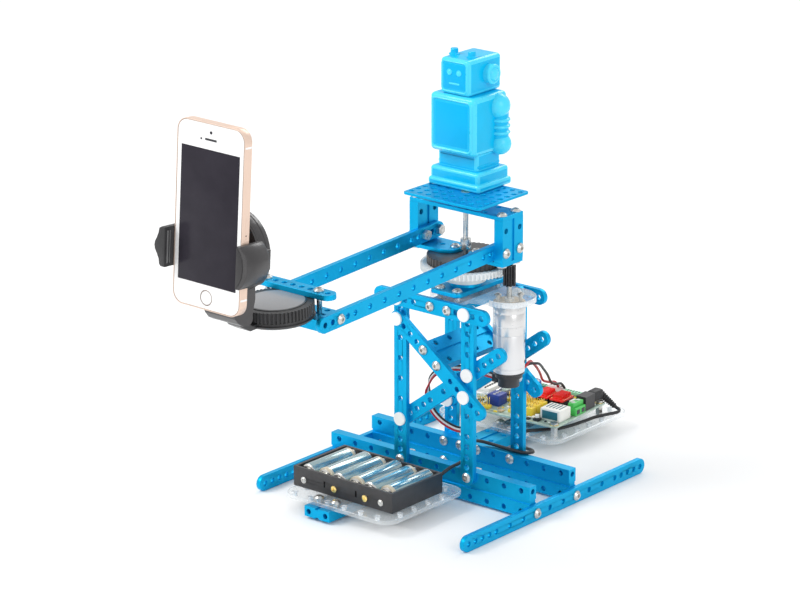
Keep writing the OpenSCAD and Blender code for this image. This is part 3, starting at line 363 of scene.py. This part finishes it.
# Band: strips across it, line round the glass, card tray with its pin hole, round keys and switch
for side in (0, PHONE_W):
    for height in (12.5, PHONE_H - 12):
        phone.box((0.16, 1.4, 6.4), (side, height, PHONE_T / 2 - 0.2), PHONE_WHITE, PHONE, 0.07, 2)
phone.border(PHONE_W - 1.2, PHONE_H - 1.2, 8.4, 0.32, 0.14, CHAMFER,
             PHONE @ shift(PHONE_W / 2, PHONE_H / 2, PHONE_T))
phone.box((0.2, 14, 1.6), (PHONE_W, 62, PHONE_T / 2 - 0.3), CHAMPAGNE, PHONE, 0.09, 2)
phone.turned([(0, 0), (0.5, 0), (0.5, 0.15), (0, 0.15)], SCREEN,
             PHONE @ shift(PHONE_W + 0.02, 57.5, PHONE_T / 2 - 0.3) @ turn(90, "Y"), 16)
for height in (92, 103):
    phone.turned([(0, 0), (2.6, 0), (2.6, 0.4), (2.2, 0.6), (0, 0.6)], CHAMPAGNE,
                 PHONE @ shift(0, height, PHONE_T / 2 - 0.2) @ turn(-90, "Y"), 28)
phone.box((0.7, 6, 2), (0, 113.5, PHONE_T / 2 - 0.2), CHAMPAGNE, PHONE, 0.3, 2)
# Top key, port at the bottom and the small holes on both sides of it
phone.box((9, 0.6, 1.9), (47, PHONE_H, PHONE_T / 2 - 0.2), CHAMPAGNE, PHONE, 0.28, 2)
phone.box((8.6, 0.2, 2.4), (PHONE_W / 2, 0, PHONE_T / 2 - 0.2), DARK_STEEL, PHONE, 0.09, 2)
for side in (-1, 1):
    for k in range(6):
        phone.turned([(0, 0), (0.55, 0), (0.55, 0.1), (0, 0.1)], DARK_STEEL,
                     PHONE @ shift(PHONE_W / 2 + side * (9 + 2 * k), 0.03, PHONE_T / 2 - 0.2)
                     @ turn(90, "X"), 14)
# Back: lens, lamp and the two white lines
BACK = PHONE @ turn(180, "Y")
phone.turned([(0, 0), (3.2, 0), (3.2, 0.35), (2.6, 0.55), (2.2, 0.3), (0, 0.3)], SCREEN,
             BACK @ shift(-8.5, 121, 0), 36)
phone.turned([(0, 0), (1.5, 0), (1.4, 0.15), (0, 0.2)], WHITE_WIRE, BACK @ shift(-15.5, 121, 0), 24)
for height in (9.5, 110):
    phone.box((PHONE_W - 1.4, 0.5, 0.14), (PHONE_W / 2, height, 0), PHONE_WHITE, PHONE, 0.05, 1)
phone.done("holder")

button = Piece("home_button_dish")
dish = PHONE @ shift(PHONE_W / 2, 8.6, PHONE_T - 2.4)
button.turned([(0, 0), (5.4, 0), (5.4, 2.15), (5.25, 2.3), (4.9, 2.3), (4.76, 1.9)], CHAMFER, dish, 56, False)
button.turned([(4.78, 1.9), (4.72, 2.22), (3.5, 2.05), (2, 1.95), (0, 1.9)], PHONE_WHITE, dish, 56, False)
button.done("home_button", ["home_button"])

# ---- phone holder trim ----
trim = Piece("holder_trim")
back_disc = HOLDER @ turn(-90, "X")
for z in (13.2, 20.2):
    trim.turned([(29.02, z), (29.25, z + 0.3), (29.25, z + 0.7), (29.02, z + 1)],
                RUBBER, back_disc, 96, False)
trim.turned([(0, 27.2), (20, 27.2), (20.6, 27.7), (19.6, 28), (17.5, 27.5), (0, 27.4)], BLACK, back_disc, 80)
trim.turned([(0, 27.3), (6.4, 27.3), (6.4, 29.6), (5.8, 30.1), (0, 30.3)], RUBBER, back_disc, 48)
for k in range(4):
    trim.box((20, 0.8, 2), (0, 0.35, -17 + 11 * k), RUBBER, HOLDER, 0.3, 2)
trim.done("holder")

# Outlines of the left jaw and of the right jaw's front lip: distance outwards, then height
WAVE = ((0, -14), (3.4, -14), (5, -12.6), (5.6, -9), (7.4, -5.4), (9.2, -2.6), (9.8, 0), (9.3, 3),
        (7.6, 6), (6.2, 9.6), (5.6, 12.8), (3.6, 14), (0, 14))
LENS = ((0, -14.6), (2.8, -11.5), (5.4, -6), (6.2, 0), (5.4, 6), (3, 11.4), (0, 14.4))
for side, name, front, low, high in ((-1, "left_jaw", -17, -13, 16), (1, "right_jaw", -12.5, -16, 14)):
    pad = Piece(name + "_pad")
    inner = side * (PHONE_W / 2 + 0.1)
    middle = (low + high) / 2
    length = high - low - 3
    for k in range(5):
        pad.box((0.5, 0.8, length), (inner + side * 0.15, -1.2 - k * 1.7, middle), BLACK, HOLDER, 0.2, 2)
    if side < 0:
        pad.slab([(inner - x, middle + z) for x, z in WAVE], front, 10.6, RUBBER, HOLDER, 0.9, 3)
        pad.box((-inner - 11, 4, 14), ((inner - 17) / 2, 17, 0), BLACK, HOLDER, 0.5, 2)
        pad.box((3, 12.4, 14), (inner - 1.5, 12.8, 0), BLACK, HOLDER, 0.5, 2)
        # Two grey strips along the pad are painted highlights
        pad.box((0.6, 1.3, length - 3), (inner + 0.2, front + 3, middle), PAD_HIGHLIGHT, HOLDER, 0.25, 2)
        pad.box((0.6, 0.6, length - 3), (inner + 0.2, front + 5.2, middle), PAD_HIGHLIGHT, HOLDER, 0.25, 2)
        for k in range(5):
            reach = 7.6 - abs(k - 2) * 1.1
            pad.box((0.8, 20, 1), (inner - reach - 0.2, -4, middle + (k - 2) * 3.4), RUBBER, HOLDER, 0.35, 2)
    else:
        pad.slab([(inner - 0.2 + x, middle + z) for x, z in LENS], front - 0.5, front + 1.6, BLACK, HOLDER,
                 0.5, 3)
    pad.done(name, ["left_jaw"] if side < 0 else ())

# ---- battery cells, and the front wall of their box ----
BATTERY_X, BATTERY_W, CELL_PITCH, CELL_Y, CELL_Z, TERMINAL_Z = 31, 95.5, 14.9, 32.25, 23.3, 19.4


def cell_x(i):
    """The middle of cell i, counted from the left."""
    return BATTERY_X + BATTERY_W / 2 + (i - 2.5) * CELL_PITCH


cells = Piece("battery_cells_wrapped")
for i in range(6):
    up = 1 if i % 2 == 0 else -1
    where = GROUND @ shift(cell_x(i), CELL_Y, CELL_Z) @ turn(-90 * up, "X")
    cells.turned([(0, -25), (5.2, -25), (6.2, -24.8), (6.9, -24.2), (7.0, -23.6), (0, -23.6)],
                 NICKEL, where, 48)
    cells.turned([(0, -23.7), (6.2, -23.8), (6.9, -23.6), (7.1, -23.1), (7.1, 19.4)],
                 SLEEVE, where, 48, False)
    cells.turned([(7.1, 19.4), (7.12, 19.5), (7.12, 21.9), (6.8, 22.4), (6.0, 22.6), (0, 22.5)],
                 CREAM, where, 48, False)
    cells.turned([(6.3, 22.3), (5.6, 22.9), (3.4, 23.2), (2.8, 23.6), (2.75, 24.7), (2.3, 25), (0, 25)],
                 NICKEL, where, 40, False)
cells.done("base", ["battery_cells"])

# Grooves in the front wall, drawn as near-black sheets of painted shade, and the ends of the contacts' rivets
slots = Piece("battery_holder_slots")
for share in (0.318, 0.637):
    slots.box((1.3, 0.3, 4.6), (BATTERY_X + BATTERY_W * share, 2.96, 20.4), GROOVE_SHADE, GROUND, 0.12, 2)
for i, wide, mat in ((0, 0.72, STEEL), (2, 1, GOLD), (4, 1, GOLD), (5, 0.72, STEEL)):
    slots.turned([(0, 0), (2.5 * wide, 0), (2.6 * wide, 0.5), (2.1 * wide, 0.8), (0.9, 0.75), (0.7, 0.2),
                  (0, 0.2)], mat, GROUND @ shift(cell_x(i), 2.25, TERMINAL_Z) @ turn(90, "X"), 32)
slots.done("base")

# ---- painted highlights on the edges of the clear trays and their holes ----
TRAY_TOP, TRAY_T, HOLE_PITCH, HOLE_INSET = 13, 3, 16, 7
edge_glints = Piece("clear_edge_glints")
for left, near, wide, deep in ((33, -14, 104, 92), (6, 198, 120, 100)):
    spots = [(x, y) for x in range(8, wide - 6, HOLE_PITCH) for y in (HOLE_INSET, deep - HOLE_INSET)]
    spots += [(x, y) for y in range(22, deep - 19, HOLE_PITCH) for x in (HOLE_INSET, wide - HOLE_INSET)]
    for x, y in spots:
        edge_glints.turned([(1.88, 0.05 - TRAY_T), (1.84, 0), (2.05, 0.16), (2.5, 0.16), (2.7, -0.02)], EDGE_GLINT,
                    GROUND @ shift(left + x, near + y, TRAY_TOP), 24, False)
    middle = GROUND @ shift(left + wide / 2, near + deep / 2, 0)
    edge_glints.border(wide - 0.8, deep - 0.8, 11.6, 0.5, 0.12, EDGE_GLINT, middle @ shift(0, 0, TRAY_TOP))

# A painted highlight along the open edge of the motor plate's round end
plate_end = bmesh.new()
PLATE_END_R, PLATE_BOTTOM, END_ANGLE, END_STEPS = 20.02, 154, 200, 32
EDGE_PROFILE = ((19.5, 0), (PLATE_END_R, 0.4), (PLATE_END_R, 4.1), (19.5, 4.52))
rows = []
for k in range(END_STEPS + 1):
    a = math.radians(END_ANGLE * (k / END_STEPS - 0.5))
    rows.append([plate_end.verts.new((r * math.cos(a), r * math.sin(a), z)) for r, z in EDGE_PROFILE])
for a, b in zip(rows, rows[1:]):
    for k in range(len(EDGE_PROFILE) - 1):
        plate_end.faces.new([a[k], b[k], b[k + 1], a[k + 1]])
edge_glints.add(plate_end, EDGE_GLINT, MOTOR @ shift(0, 0, PLATE_BOTTOM))
edge_glints.done("base")

# ---- motor: rear cap, can, gearbox in two parts, its front, the shaft, then slots and screws ----
motor = Piece("motor_assembly")
motor.turned([(0, 98), (11.0, 98), (11.5, 98.5), (11.5, 100.2)], BLACK, MOTOR, 64)
motor.turned([(11.3, 99.8), (11.8, 100.3), (11.8, 103.2), (11.55, 103.5), (11.55, 103.9), (11.9, 104.2),
              (11.9, 128.9), (11.6, 129.6)], CAN, MOTOR, 64)
motor.turned([(11.6, 129.4), (12.15, 129.9), (12.15, 136.2), (11.95, 136.4), (11.95, 136.7), (12.15, 136.9),
              (12.15, 146.2), (11.95, 146.5)], GEARBOX, MOTOR, 64)
motor.turned([(11.9, 146.3), (12.2, 146.6), (12.2, 153.4), (11.9, 153.8)], GEARBOX, MOTOR, 64, False)
motor.turned([(12.0, 153.6), (11.8, 154), (0, 154)], TAN, MOTOR, 64, False)
motor.turned([(3.6, 154), (3.6, 156.2), (3.4, 156.4), (2, 156.4), (2, 165.5), (1.7, 165.8), (0, 165.8)],
             STEEL, MOTOR, 40)
for k in range(2):
    for z in (108, 124):
        motor.box((0.5, 5.4, 2.2), (11.75, 0, z), DARK_STEEL, MOTOR @ turn(35 + 180 * k, "Z"), 0.2, 2)
for k in range(4):
    around = MOTOR @ turn(20 + 90 * k, "Z") @ shift(11.9, 0, 150.4) @ turn(90, "Y")
    motor.turned([(0, 0), (1.1, 0), (1.1, 0.35), (0.6, 0.4), (0.55, 0.15), (0, 0.15)], STEEL, around, 20)
motor.done("base", ["motor_body"])

# ---- circuit board parts ----
PIN_PITCH, PIN_W = 2.54, 0.64
parts = Piece("board_connectors")


def block(x, y, size, mat, edge=0.5, lift=0.0):
    """A rounded block that stands on the board, or lift above it."""
    parts.box(size, (x, y, lift + size[2] / 2), mat, BOARD, edge, 2)


def pins(piece, x, y, columns, rows, base, length):
    """A grid of square pins about the point x, y."""
    for i in range(columns):
        for j in range(rows):
            centre = (x + (i - (columns - 1) / 2) * PIN_PITCH, y + (j - (rows - 1) / 2) * PIN_PITCH,
                      base + length / 2)
            piece.box((PIN_W, PIN_W, length), centre, GOLD, BOARD, 0.15, 1)


# Silver socket with a white top
block(-37, 1, (13, 24, 4.4), SILVER, 0.6)
block(-37, 1, (9, 18, 2.6), WHITE, 0.4, 4.4)
for k in range(6):
    parts.box((1, 2, 1.2), (-37, -7 + 3.2 * k, 7.3), DARK_STEEL, BOARD, 0.2, 1)
# Blue socket with three contacts
block(-19, -17, (11, 12, 9), DEEP_BLUE, 0.6)
for k in range(3):
    parts.turned([(0, 0), (1.3, 0), (1.3, 0.4), (0.5, 0.4), (0.4, 0), (0, 0)], STEEL,
                 BOARD @ shift(-19, -20.6 + 3.6 * k, 8.9), 18)
# Chip with eight legs on each side
block(-22, 8, (12, 10, 1.6), DARK_STEEL, 0.3, 0.2)
for k in range(8):
    for side in (-1, 1):
        parts.box((0.5, 1.6, 0.3), (-26.4 + 1.27 * k, 8 + side * 5.4, 0.35), STEEL, BOARD, 0.1, 1)
# White socket with a teal mouth and slots
block(37, -19, (18, 16, 9.4), WHITE, 0.7)
parts.box((14, 0.6, 6.4), (37, -27.2, 4.8), TEAL, BOARD, 0.2, 2)
for k in range(5):
    parts.box((0.8, 10, 0.5), (31 + 3 * k, -18, 9.5), TEAL, BOARD, 0.2, 1)
# Green screw terminal, and a white plug behind it
block(44, 0, (8, 14, 6.4), GREEN, 0.4)
block(43.2, 0, (5.4, 14, 3.6), GREEN, 0.5, 6.4)
for k in (-1, 1):
    parts.turned([(0, 0), (1.7, 0), (1.7, 0.5), (0.4, 0.5), (0.3, 0.2), (0, 0.2)], STEEL,
                 BOARD @ shift(43.2, 3.4 * k, 9.8), 24)
    parts.box((0.6, 4.2, 3.6), (48, 3.4 * k, 3), DARK_STEEL, BOARD, 0.2, 1)
block(33.4, 12.5, (4.4, 7, 5.4), WHITE, 0.4)
# Pale green strip along the rear edge, and the white socket before it
block(8, 33, (48, 5, 4), PALE_GREEN, 0.4)
for k in range(18):
    parts.box((1.1, 3.2, 0.3), (-14.5 + 2.64 * k, 33, 4), DARK_STEEL, BOARD, 0.1, 1)
block(8, 26.5, (14, 5, 8.5), WHITE, 0.5)
for k in range(4):
    parts.box((2.2, 2.6, 0.3), (3.2 + 3.2 * k, 26.5, 8.5), DARK_STEEL, BOARD, 0.1, 1)
# Round capacitor, and a square chip
parts.turned([(0, 0), (6.6, 0), (7, 0.5), (6.7, 1.1), (7, 1.6), (7, 8.2), (6.5, 9), (0, 9)], DEEP_BLUE,
             BOARD @ shift(-13, 24, 0), 40)
parts.turned([(0, 8.95), (5.6, 8.95), (5.4, 9.1), (0, 9.1)], SILVER, BOARD @ shift(-13, 24, 0), 40)
parts.box((5.4, 5.4, 2), (28, -31, 1), DARK_STEEL, BOARD, 0.4, 2)
parts.done("base", ["connector_blocks"])

headers = Piece("board_headers")
for x in (-33, -26.5, -20):
    headers.box((5.6, 5, 2.6), (x, -29.5, 1.3), YELLOW, BOARD, 0.4, 2)
    pins(headers, x, -29.5, 2, 2, 2, 7)
for y in (-24, -16, -8):
    headers.box((6.5, 6.5, 6.6), (17, y, 3.3), YELLOW, BOARD, 0.5, 2)
    pins(headers, 17, y, 2, 2, 6, 3)
for x, y, wide, count in ((5, -26, 13, 5), (-4, -6, 24, 9), (-4, 1, 24, 9)):
    headers.box((wide, 4.6, 2.6), (x, y, 1.3), YELLOW, BOARD, 0.4, 2)
    pins(headers, x, y, count, 2, 2, 6.5)
headers.done("base", ["pin_headers"])

drivers = Piece("driver_boards")
for x in (8, 22.5):
    drivers.box((12.5, 17, 2.2), (x, 12, 1.1), DARK_STEEL, BOARD, 0.3, 2)
    drivers.box((12.5, 17, 1.6), (x, 12, 5.1), RED, BOARD, 0.4, 2)
    for side in (-1, 1):
        drivers.box((2.4, 15.6, 3.2), (x + side * 4.8, 12, 3.4), DARK_STEEL, BOARD, 0.2, 1)
        for k in range(6):
            drivers.box((PIN_W, PIN_W, 0.7), (x + side * 5.3, 5.65 + PIN_PITCH * k, 6.1),
                        GOLD, BOARD, 0.15, 1)
    drivers.box((9, 14, 1.2), (x, 12, 6.3), RED, BOARD, 0.3, 2)
    for k in range(6):
        drivers.box((9, 0.9, 2.6), (x, 6.2 + 2.3 * k, 7.9), RED, BOARD, 0.2, 1)
drivers.done("base", ["driver_modules"])

small = Piece("board_small_parts")
chance = random.Random(7)
SMALL_COUNT, HALF_X, HALF_Y = 90, 46, 34
# The board's larger parts, as x, y and half of each side, which the small ones keep clear of
TAKEN = [(-37, 1, 8, 14), (-19, -17, 7, 8), (-22, 8, 8, 8), (37, -19, 10, 9), (44, 0, 5, 8), (40, 16, 6, 8),
         (8, 33, 26, 4), (8, 26.5, 9, 4), (-13, 24, 9, 9), (-26.5, -29.5, 12, 4), (17, -16, 5, 13),
         (5, -26, 8, 4), (-4, -2.5, 14, 8), (15, 12, 16, 10), (28, -31, 4, 4), (-44, 32, 5, 5),
         (44, 32, 6, 6), (-44, -32, 5, 5), (44, -32, 5, 5), (33, 12.5, 4, 5)]
placed = 0
while placed < SMALL_COUNT:
    x, y = chance.uniform(-HALF_X, HALF_X), chance.uniform(-HALF_Y, HALF_Y)
    if any(abs(x - a) < w and abs(y - b) < d for a, b, w, d in TAKEN):
        continue
    size = chance.choice([(1.6, 0.9, 0.6), (2.2, 1.3, 0.8), (3, 1.6, 1), (3.4, 3.4, 1.2)])
    if chance.random() < 0.5:
        size = (size[1], size[0], size[2])
    mat = chance.choice([DARK_STEEL, WHITE, TAN, SILVER, YELLOW])
    small.box(size, (x, y, size[2] / 2), mat, BOARD, 0.12, 1)
    placed += 1
# Gold rings round the four screw holes
for side in (-1, 1):
    for x in (-44.5, 44.5):
        small.turned([(3.1, 0), (3.6, 0), (3.6, 0.08), (3.1, 0.08)], GOLD, BOARD @ shift(x, side * 32, 0), 32)
small.done("base")

# ---- toy figure ----
toy = Piece("toy_robot")
# From below: foot plate, step, legs, body, neck and head, whose rounded edges take the lighter blue of a
# painted highlight
for size, middle, edge in (((48.5, 39.5, 6), (-0.2, 4.8, 3), 2.2), ((45.5, 37, 10.5), (-0.7, 5, 9.25), 2.6),
                           ((37, 28, 15), (-1.5, 5.5, 20.5), 2.4), ((42, 40, 44), (-0.5, 3.5, 49), 3.6),
                           ((22, 26, 4), (0, 5.3, 71), 1), ((27, 38.5, 27), (0, 5.3, 84.5), 2.8)):
    toy.box(size, middle, TOY, FIGURE, edge, 5, TOY_HIGHLIGHT)
for k in (-1, 1):
    toy.box((36 - 2 * k, 27 + k, 2.4), (-1.5, 5.5, 20.5 + 3 * k), TOY, FIGURE, 1, 3)
BODY_FRONT, HEAD_FRONT = -16.5, -13.95
# Chest panel and face panel in a darker blue of painted shade, each in a raised border in the lighter blue of
# a painted highlight
toy.border(36.5, 38.5, 3.5, 1.5, 0.9, TOY_HIGHLIGHT, FIGURE @ shift(-0.5, BODY_FRONT, 49) @ turn(90, "X"))
toy.box((30, 0.5, 32), (-0.5, BODY_FRONT + 0.1, 49), TOY_RECESS_SHADE, FIGURE, 0.2, 2)
toy.border(23.5, 23, 3, 1.2, 0.8, TOY_HIGHLIGHT, FIGURE @ shift(0, HEAD_FRONT, 84.8) @ turn(90, "X"))
toy.box((19, 0.5, 18.5), (0, HEAD_FRONT + 0.1, 84.8), TOY_RECESS_SHADE, FIGURE, 0.2, 2)
# Eyes, the knobs on the head, ears, and the arms with their ribs, shoulders and hands; eyes, ears, ribs,
# shoulders and hands are in the lighter blue of a painted highlight
for side in (-1, 1):
    toy.turned([(0, 0), (2.3, 0), (2.3, 0.5), (1.9, 0.9), (1.2, 0.7), (0.8, 1), (0, 1.1)], TOY_HIGHLIGHT,
               FIGURE @ shift(side * 4.4, HEAD_FRONT, 88) @ turn(90, "X"), 32)
    toy.turned([(0, 0), (4.2, 0), (4, 0.7), (3.1, 1.3), (2.9, 2), (2.9, 4), (2.5, 4.6), (0, 4.7)], TOY,
               FIGURE @ shift(side * 8.2 - 2.2, -1, 97.9), 32)
    ear = FIGURE @ shift(0.8 + side * 12, 10, 85) @ turn(side * 90, "Y")
    toy.turned([(0, 0), (7.5, 0), (7.5, 5), (6.9, 5.8), (5.6, 6), (5, 5.4), (4.4, 6.2), (3, 7.2), (0, 7.5)],
               TOY_HIGHLIGHT, ear, 48)
    sleeve = FIGURE @ shift(0.8 + side * 18.5, 15, 0)
    toy.turned([(0, 33), (6.9, 33), (6.9, 60), (0, 61)], TOY, sleeve, 40)
    for z in (39.6, 44.4, 49.2):
        toy.turned([(6.9, z), (7.9, z + 0.6), (8.2, z + 1.3), (7.9, z + 2), (6.9, z + 2.6)],
                   TOY_HIGHLIGHT, sleeve, 40, False)
    toy.turned([(r, 61 + z) for r, z in ball(9.5)], TOY_HIGHLIGHT, FIGURE @ shift(0.8 + side * 18, 13.5, 0), 44)
    toy.turned([(r, 32 + z) for r, z in ball(8.3)], TOY_HIGHLIGHT, FIGURE @ shift(0.8 + side * 19.5, 15, 0), 44)
toy.box((9.5, 0.9, 1.5), (0, HEAD_FRONT - 0.1, 79.6), TOY_HIGHLIGHT, FIGURE, 0.4, 3)
toy.done("base", ["toy_figure"], 30)

# ---- plug ----
JACK = BOARD @ shift(42.4, 22, 6.9)
plug = Piece("power_plug_moulded")
# Metal sleeve, body, grip ribs and the ribbed strain relief
plug.turned([(2.75, -7), (2.75, 1)], NICKEL, JACK @ turn(-90, "X"), 28)
plug.box((8.6, 13, 8.6), (0, 6.8, 0), JACKET, JACK, 2.2, 4)
for k in range(5):
    plug.box((8.9, 0.8, 6), (0, 3.4 + 1.7 * k, 0), JACKET, JACK, 0.35, 2)
relief = JACK @ shift(0, 13.3, 0) @ turn(36, "Z") @ turn(133, "Y")
ribbed = [(0, -2), (2.6, -2)]
RELIEF_RIBS, RELIEF_PITCH, RELIEF_LEN = 9, 1.9, 17.5
for k in range(RELIEF_RIBS):
    low, size = k * RELIEF_PITCH, 3.4 - 0.14 * k
    ribbed += [(size - 0.8, low), (size, low + 0.3), (size, low + 1.0), (size - 0.8, low + 1.3)]
ribbed += [(1.7, RELIEF_LEN - 0.2), (0, RELIEF_LEN)]
plug.turned(ribbed, JACKET, relief, 32)
plug_piece = plug.done("base", ["power_plug"])


# ---- cords ----
def smooth(route, steps):
    """The same curve through the route's points as in the CAD."""
    p = [Vector(q) for q in route]
    out = []
    for i in range(len(p) - 1):
        a, b, c, d = p[max(i - 1, 0)], p[i], p[i + 1], p[min(i + 2, len(p) - 1)]
        for k in range(steps):
            t = k / steps
            out.append(0.5 * (2 * b + (c - a) * t + (2 * a - 5 * b + 4 * c - d) * t * t
                              + (3 * b - a - 3 * c + d) * t ** 3))
    return out + [p[-1]]


def wire(name, points, radius, mat, replaces=()):
    """A cord of this radius along points, both in millimetres before GROUND."""
    data = bpy.data.curves.new(name, "CURVE")
    data.dimensions = "3D"
    data.bevel_depth = radius / 1000
    data.bevel_resolution = 4
    data.use_fill_caps = True
    spline = data.splines.new("POLY")
    spline.points.add(len(points) - 1)
    row = [GROUND @ q for q in points]
    for point, q in zip(spline.points, row):
        point.co = (*q, 1)
    spline.use_smooth = True
    data.materials.append(mat)
    made = bpy.data.objects.new(name, data)
    bpy.context.scene.collection.objects.link(made)
    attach(made, "base")
    if replaces:
        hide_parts(*replaces)
    return made


# The routes of the CAD's cords, point for point
LEAD_ROUTE = [[122.5, 61.6, 24.5], [122.5, 65, 25.2], [123.5, 74, 28], [123.5, 86, 28.8],
    [119, 96, 29], [112.5, 106, 29.6], [106, 116, 30.4], [104, 124, 30.6], [107, 130.5, 29.4],
    [113.5, 134, 28], [122, 134.8, 27.5], [135, 134.8, 27.4], [143, 135.4, 27.4],
    [147.2, 138.6, 27.2], [147.4, 143.6, 26.4], [142, 148.5, 25.4], [133, 153.5, 23.4],
    [119, 167, 20], [105, 184, 17], [95, 197, 15.2], [95.4, 204, 14.5], [101, 212, 14.4],
    [110.5, 224.4, 14.4], [113.8, 236, 14.4], [115.2, 247.1, 14.4], [116.6, 263.1, 14.4],
    [119.4, 273, 14.4], [122.2, 280.3, 14.4], [123.2, 284.6, 14.6], [122.2, 286.8, 15.6],
    [119.7, 285.5, 17.5]]
RED_ROUTE = [[147.9, 122.4, 92.5], [149, 125, 94.6], [150.8, 129.4, 99.6], [147.6, 138.5, 100],
    [141.6, 149, 95], [128.1, 172, 82.3], [108.5, 202, 65.3], [88.4, 232, 47.2], [82, 248, 40],
    [79.8, 259, 36.5], [79.4, 263.8, 31.3]]
BLACK_ROUTE = [[145.2, 122.9, 92.5], [146, 126.4, 95], [149.6, 134.4, 99], [152, 141.4, 98.4],
    [148.6, 150, 94.4], [134.8, 172, 82.3], [115.8, 202, 65.6], [96.4, 232, 47.5], [89, 248, 40],
    [86, 259, 36.5], [85.4, 264.2, 31.3]]
ENCODER_ROUTE = [[135.5, 111.8, 92.5], [129, 111.7, 92.8], [115, 111.4, 93.2], [100, 110.8, 91.8],
    [86, 110.2, 87.4], [77, 110, 80.5], [73, 110, 71.5], [73, 110, 62], [77, 110.4, 53],
    [86, 111, 46.2], [97, 113.4, 42], [101, 121, 40], [96, 131, 38.5], [83.5, 146, 37],
    [71, 161, 37], [57, 179, 38.5], [46, 193, 40.5], [40.5, 201.5, 41], [39.1, 207, 38],
    [39.1, 207.3, 35], [39.1, 207.3, 31.5]]

wire("power_lead_cable", smooth(LEAD_ROUTE, 6), 1.3, JACKET,
     ["power_lead"])
wire("motor_lead_red", smooth(RED_ROUTE, 8), 1.0, RED_WIRE,
     ["motor_leads"])
wire("motor_lead_black", smooth(BLACK_ROUTE, 8), 1.0, JACKET)
# The encoder's three wires lie side by side along one route
ENCODER_WIRES = ((-1.6, RED_WIRE, "red"), (0, WHITE_WIRE, "white"), (1.6, JACKET, "black"))
for k, (offset, mat, word) in enumerate(ENCODER_WIRES):
    line = smooth(ENCODER_ROUTE, 6)
    moved = []
    for i, q in enumerate(line):
        ahead = (line[min(i + 1, len(line) - 1)] - line[max(i - 1, 0)]).normalized()
        side = ahead.cross(Vector((0.12, 0.2, 1))).normalized().cross(ahead)
        moved.append(q + side * offset)
    wire("encoder_wire_" + word, moved, 0.8, mat,
         ["encoder_cable"] if k == 1 else ())

# ---- floor, light and camera ----
floor_mesh = bpy.data.meshes.new("studio_floor")
FLOOR_HALF, FLOOR_Z = 7.0, -0.0002
corners = ((-1, -1), (1, -1), (1, 1), (-1, 1))
floor_mesh.from_pydata([(x * FLOOR_HALF, y * FLOOR_HALF, FLOOR_Z) for x, y in corners], [], [(0, 1, 2, 3)])
floor_mesh.materials.append(FLOOR)
floor = bpy.data.objects.new("studio_floor", floor_mesh)
bpy.context.scene.collection.objects.link(floor)

scene = bpy.context.scene
scene.view_settings.view_transform = "Standard"
world = bpy.data.worlds.new("studio")
scene.world = world
world.use_nodes = True
world.node_tree.nodes["Background"].inputs["Color"].default_value = (1, 1, 1, 1)
world.node_tree.nodes["Background"].inputs["Strength"].default_value = 0.75


def soft_light(name, place, target, power, size):
    data = bpy.data.lights.new(name, "AREA")
    data.shape = "RECTANGLE"
    data.size, data.size_y = size
    data.energy = power
    made = bpy.data.objects.new(name, data)
    made.location = place
    made.rotation_euler = (Vector(target) - Vector(place)).to_track_quat("-Z", "Y").to_euler()
    scene.collection.objects.link(made)


soft_light("key", (-1.2, -1.5, 2.0), (0, 0, 0.15), 34, (1.2, 1.0))
soft_light("fill", (2.2, -0.6, 1.3), (0, 0, 0.15), 16, (1.2, 1.4))
soft_light("rear", (-0.5, 2.2, 1.8), (0, 0, 0.15), 18, (1.6, 0.8))

# The camera that was fitted to the photo: angles in radians, target in millimetres before GROUND
AZIMUTH, ELEVATION, ROLL = 0.694280466, 0.31043981, -0.00184197
DISTANCE_MM, TARGET_MM = 2761.70941, (45.3682, 110.0, 134.0898)
FOCAL_PX, WIDTH_PX = 3661.0565, 800
back = Vector((math.sin(AZIMUTH) * math.cos(ELEVATION), -math.cos(AZIMUTH) * math.cos(ELEVATION),
               math.sin(ELEVATION)))
flat_right = Vector((math.cos(AZIMUTH), math.sin(AZIMUTH), 0))
flat_up = back.cross(flat_right)
right = math.cos(ROLL) * flat_right + math.sin(ROLL) * flat_up
up = -math.sin(ROLL) * flat_right + math.cos(ROLL) * flat_up
camera_data = bpy.data.cameras.new("camera")
camera_data.sensor_width = 36
camera_data.lens = FOCAL_PX / WIDTH_PX * camera_data.sensor_width
camera_data.clip_end = 50
camera = bpy.data.objects.new("camera", camera_data)
scene.collection.objects.link(camera)
pose = Matrix((right, up, back)).transposed().to_4x4()
pose.translation = GROUND @ (Vector(TARGET_MM) + back * DISTANCE_MM)
camera.matrix_world = pose
scene.camera = camera
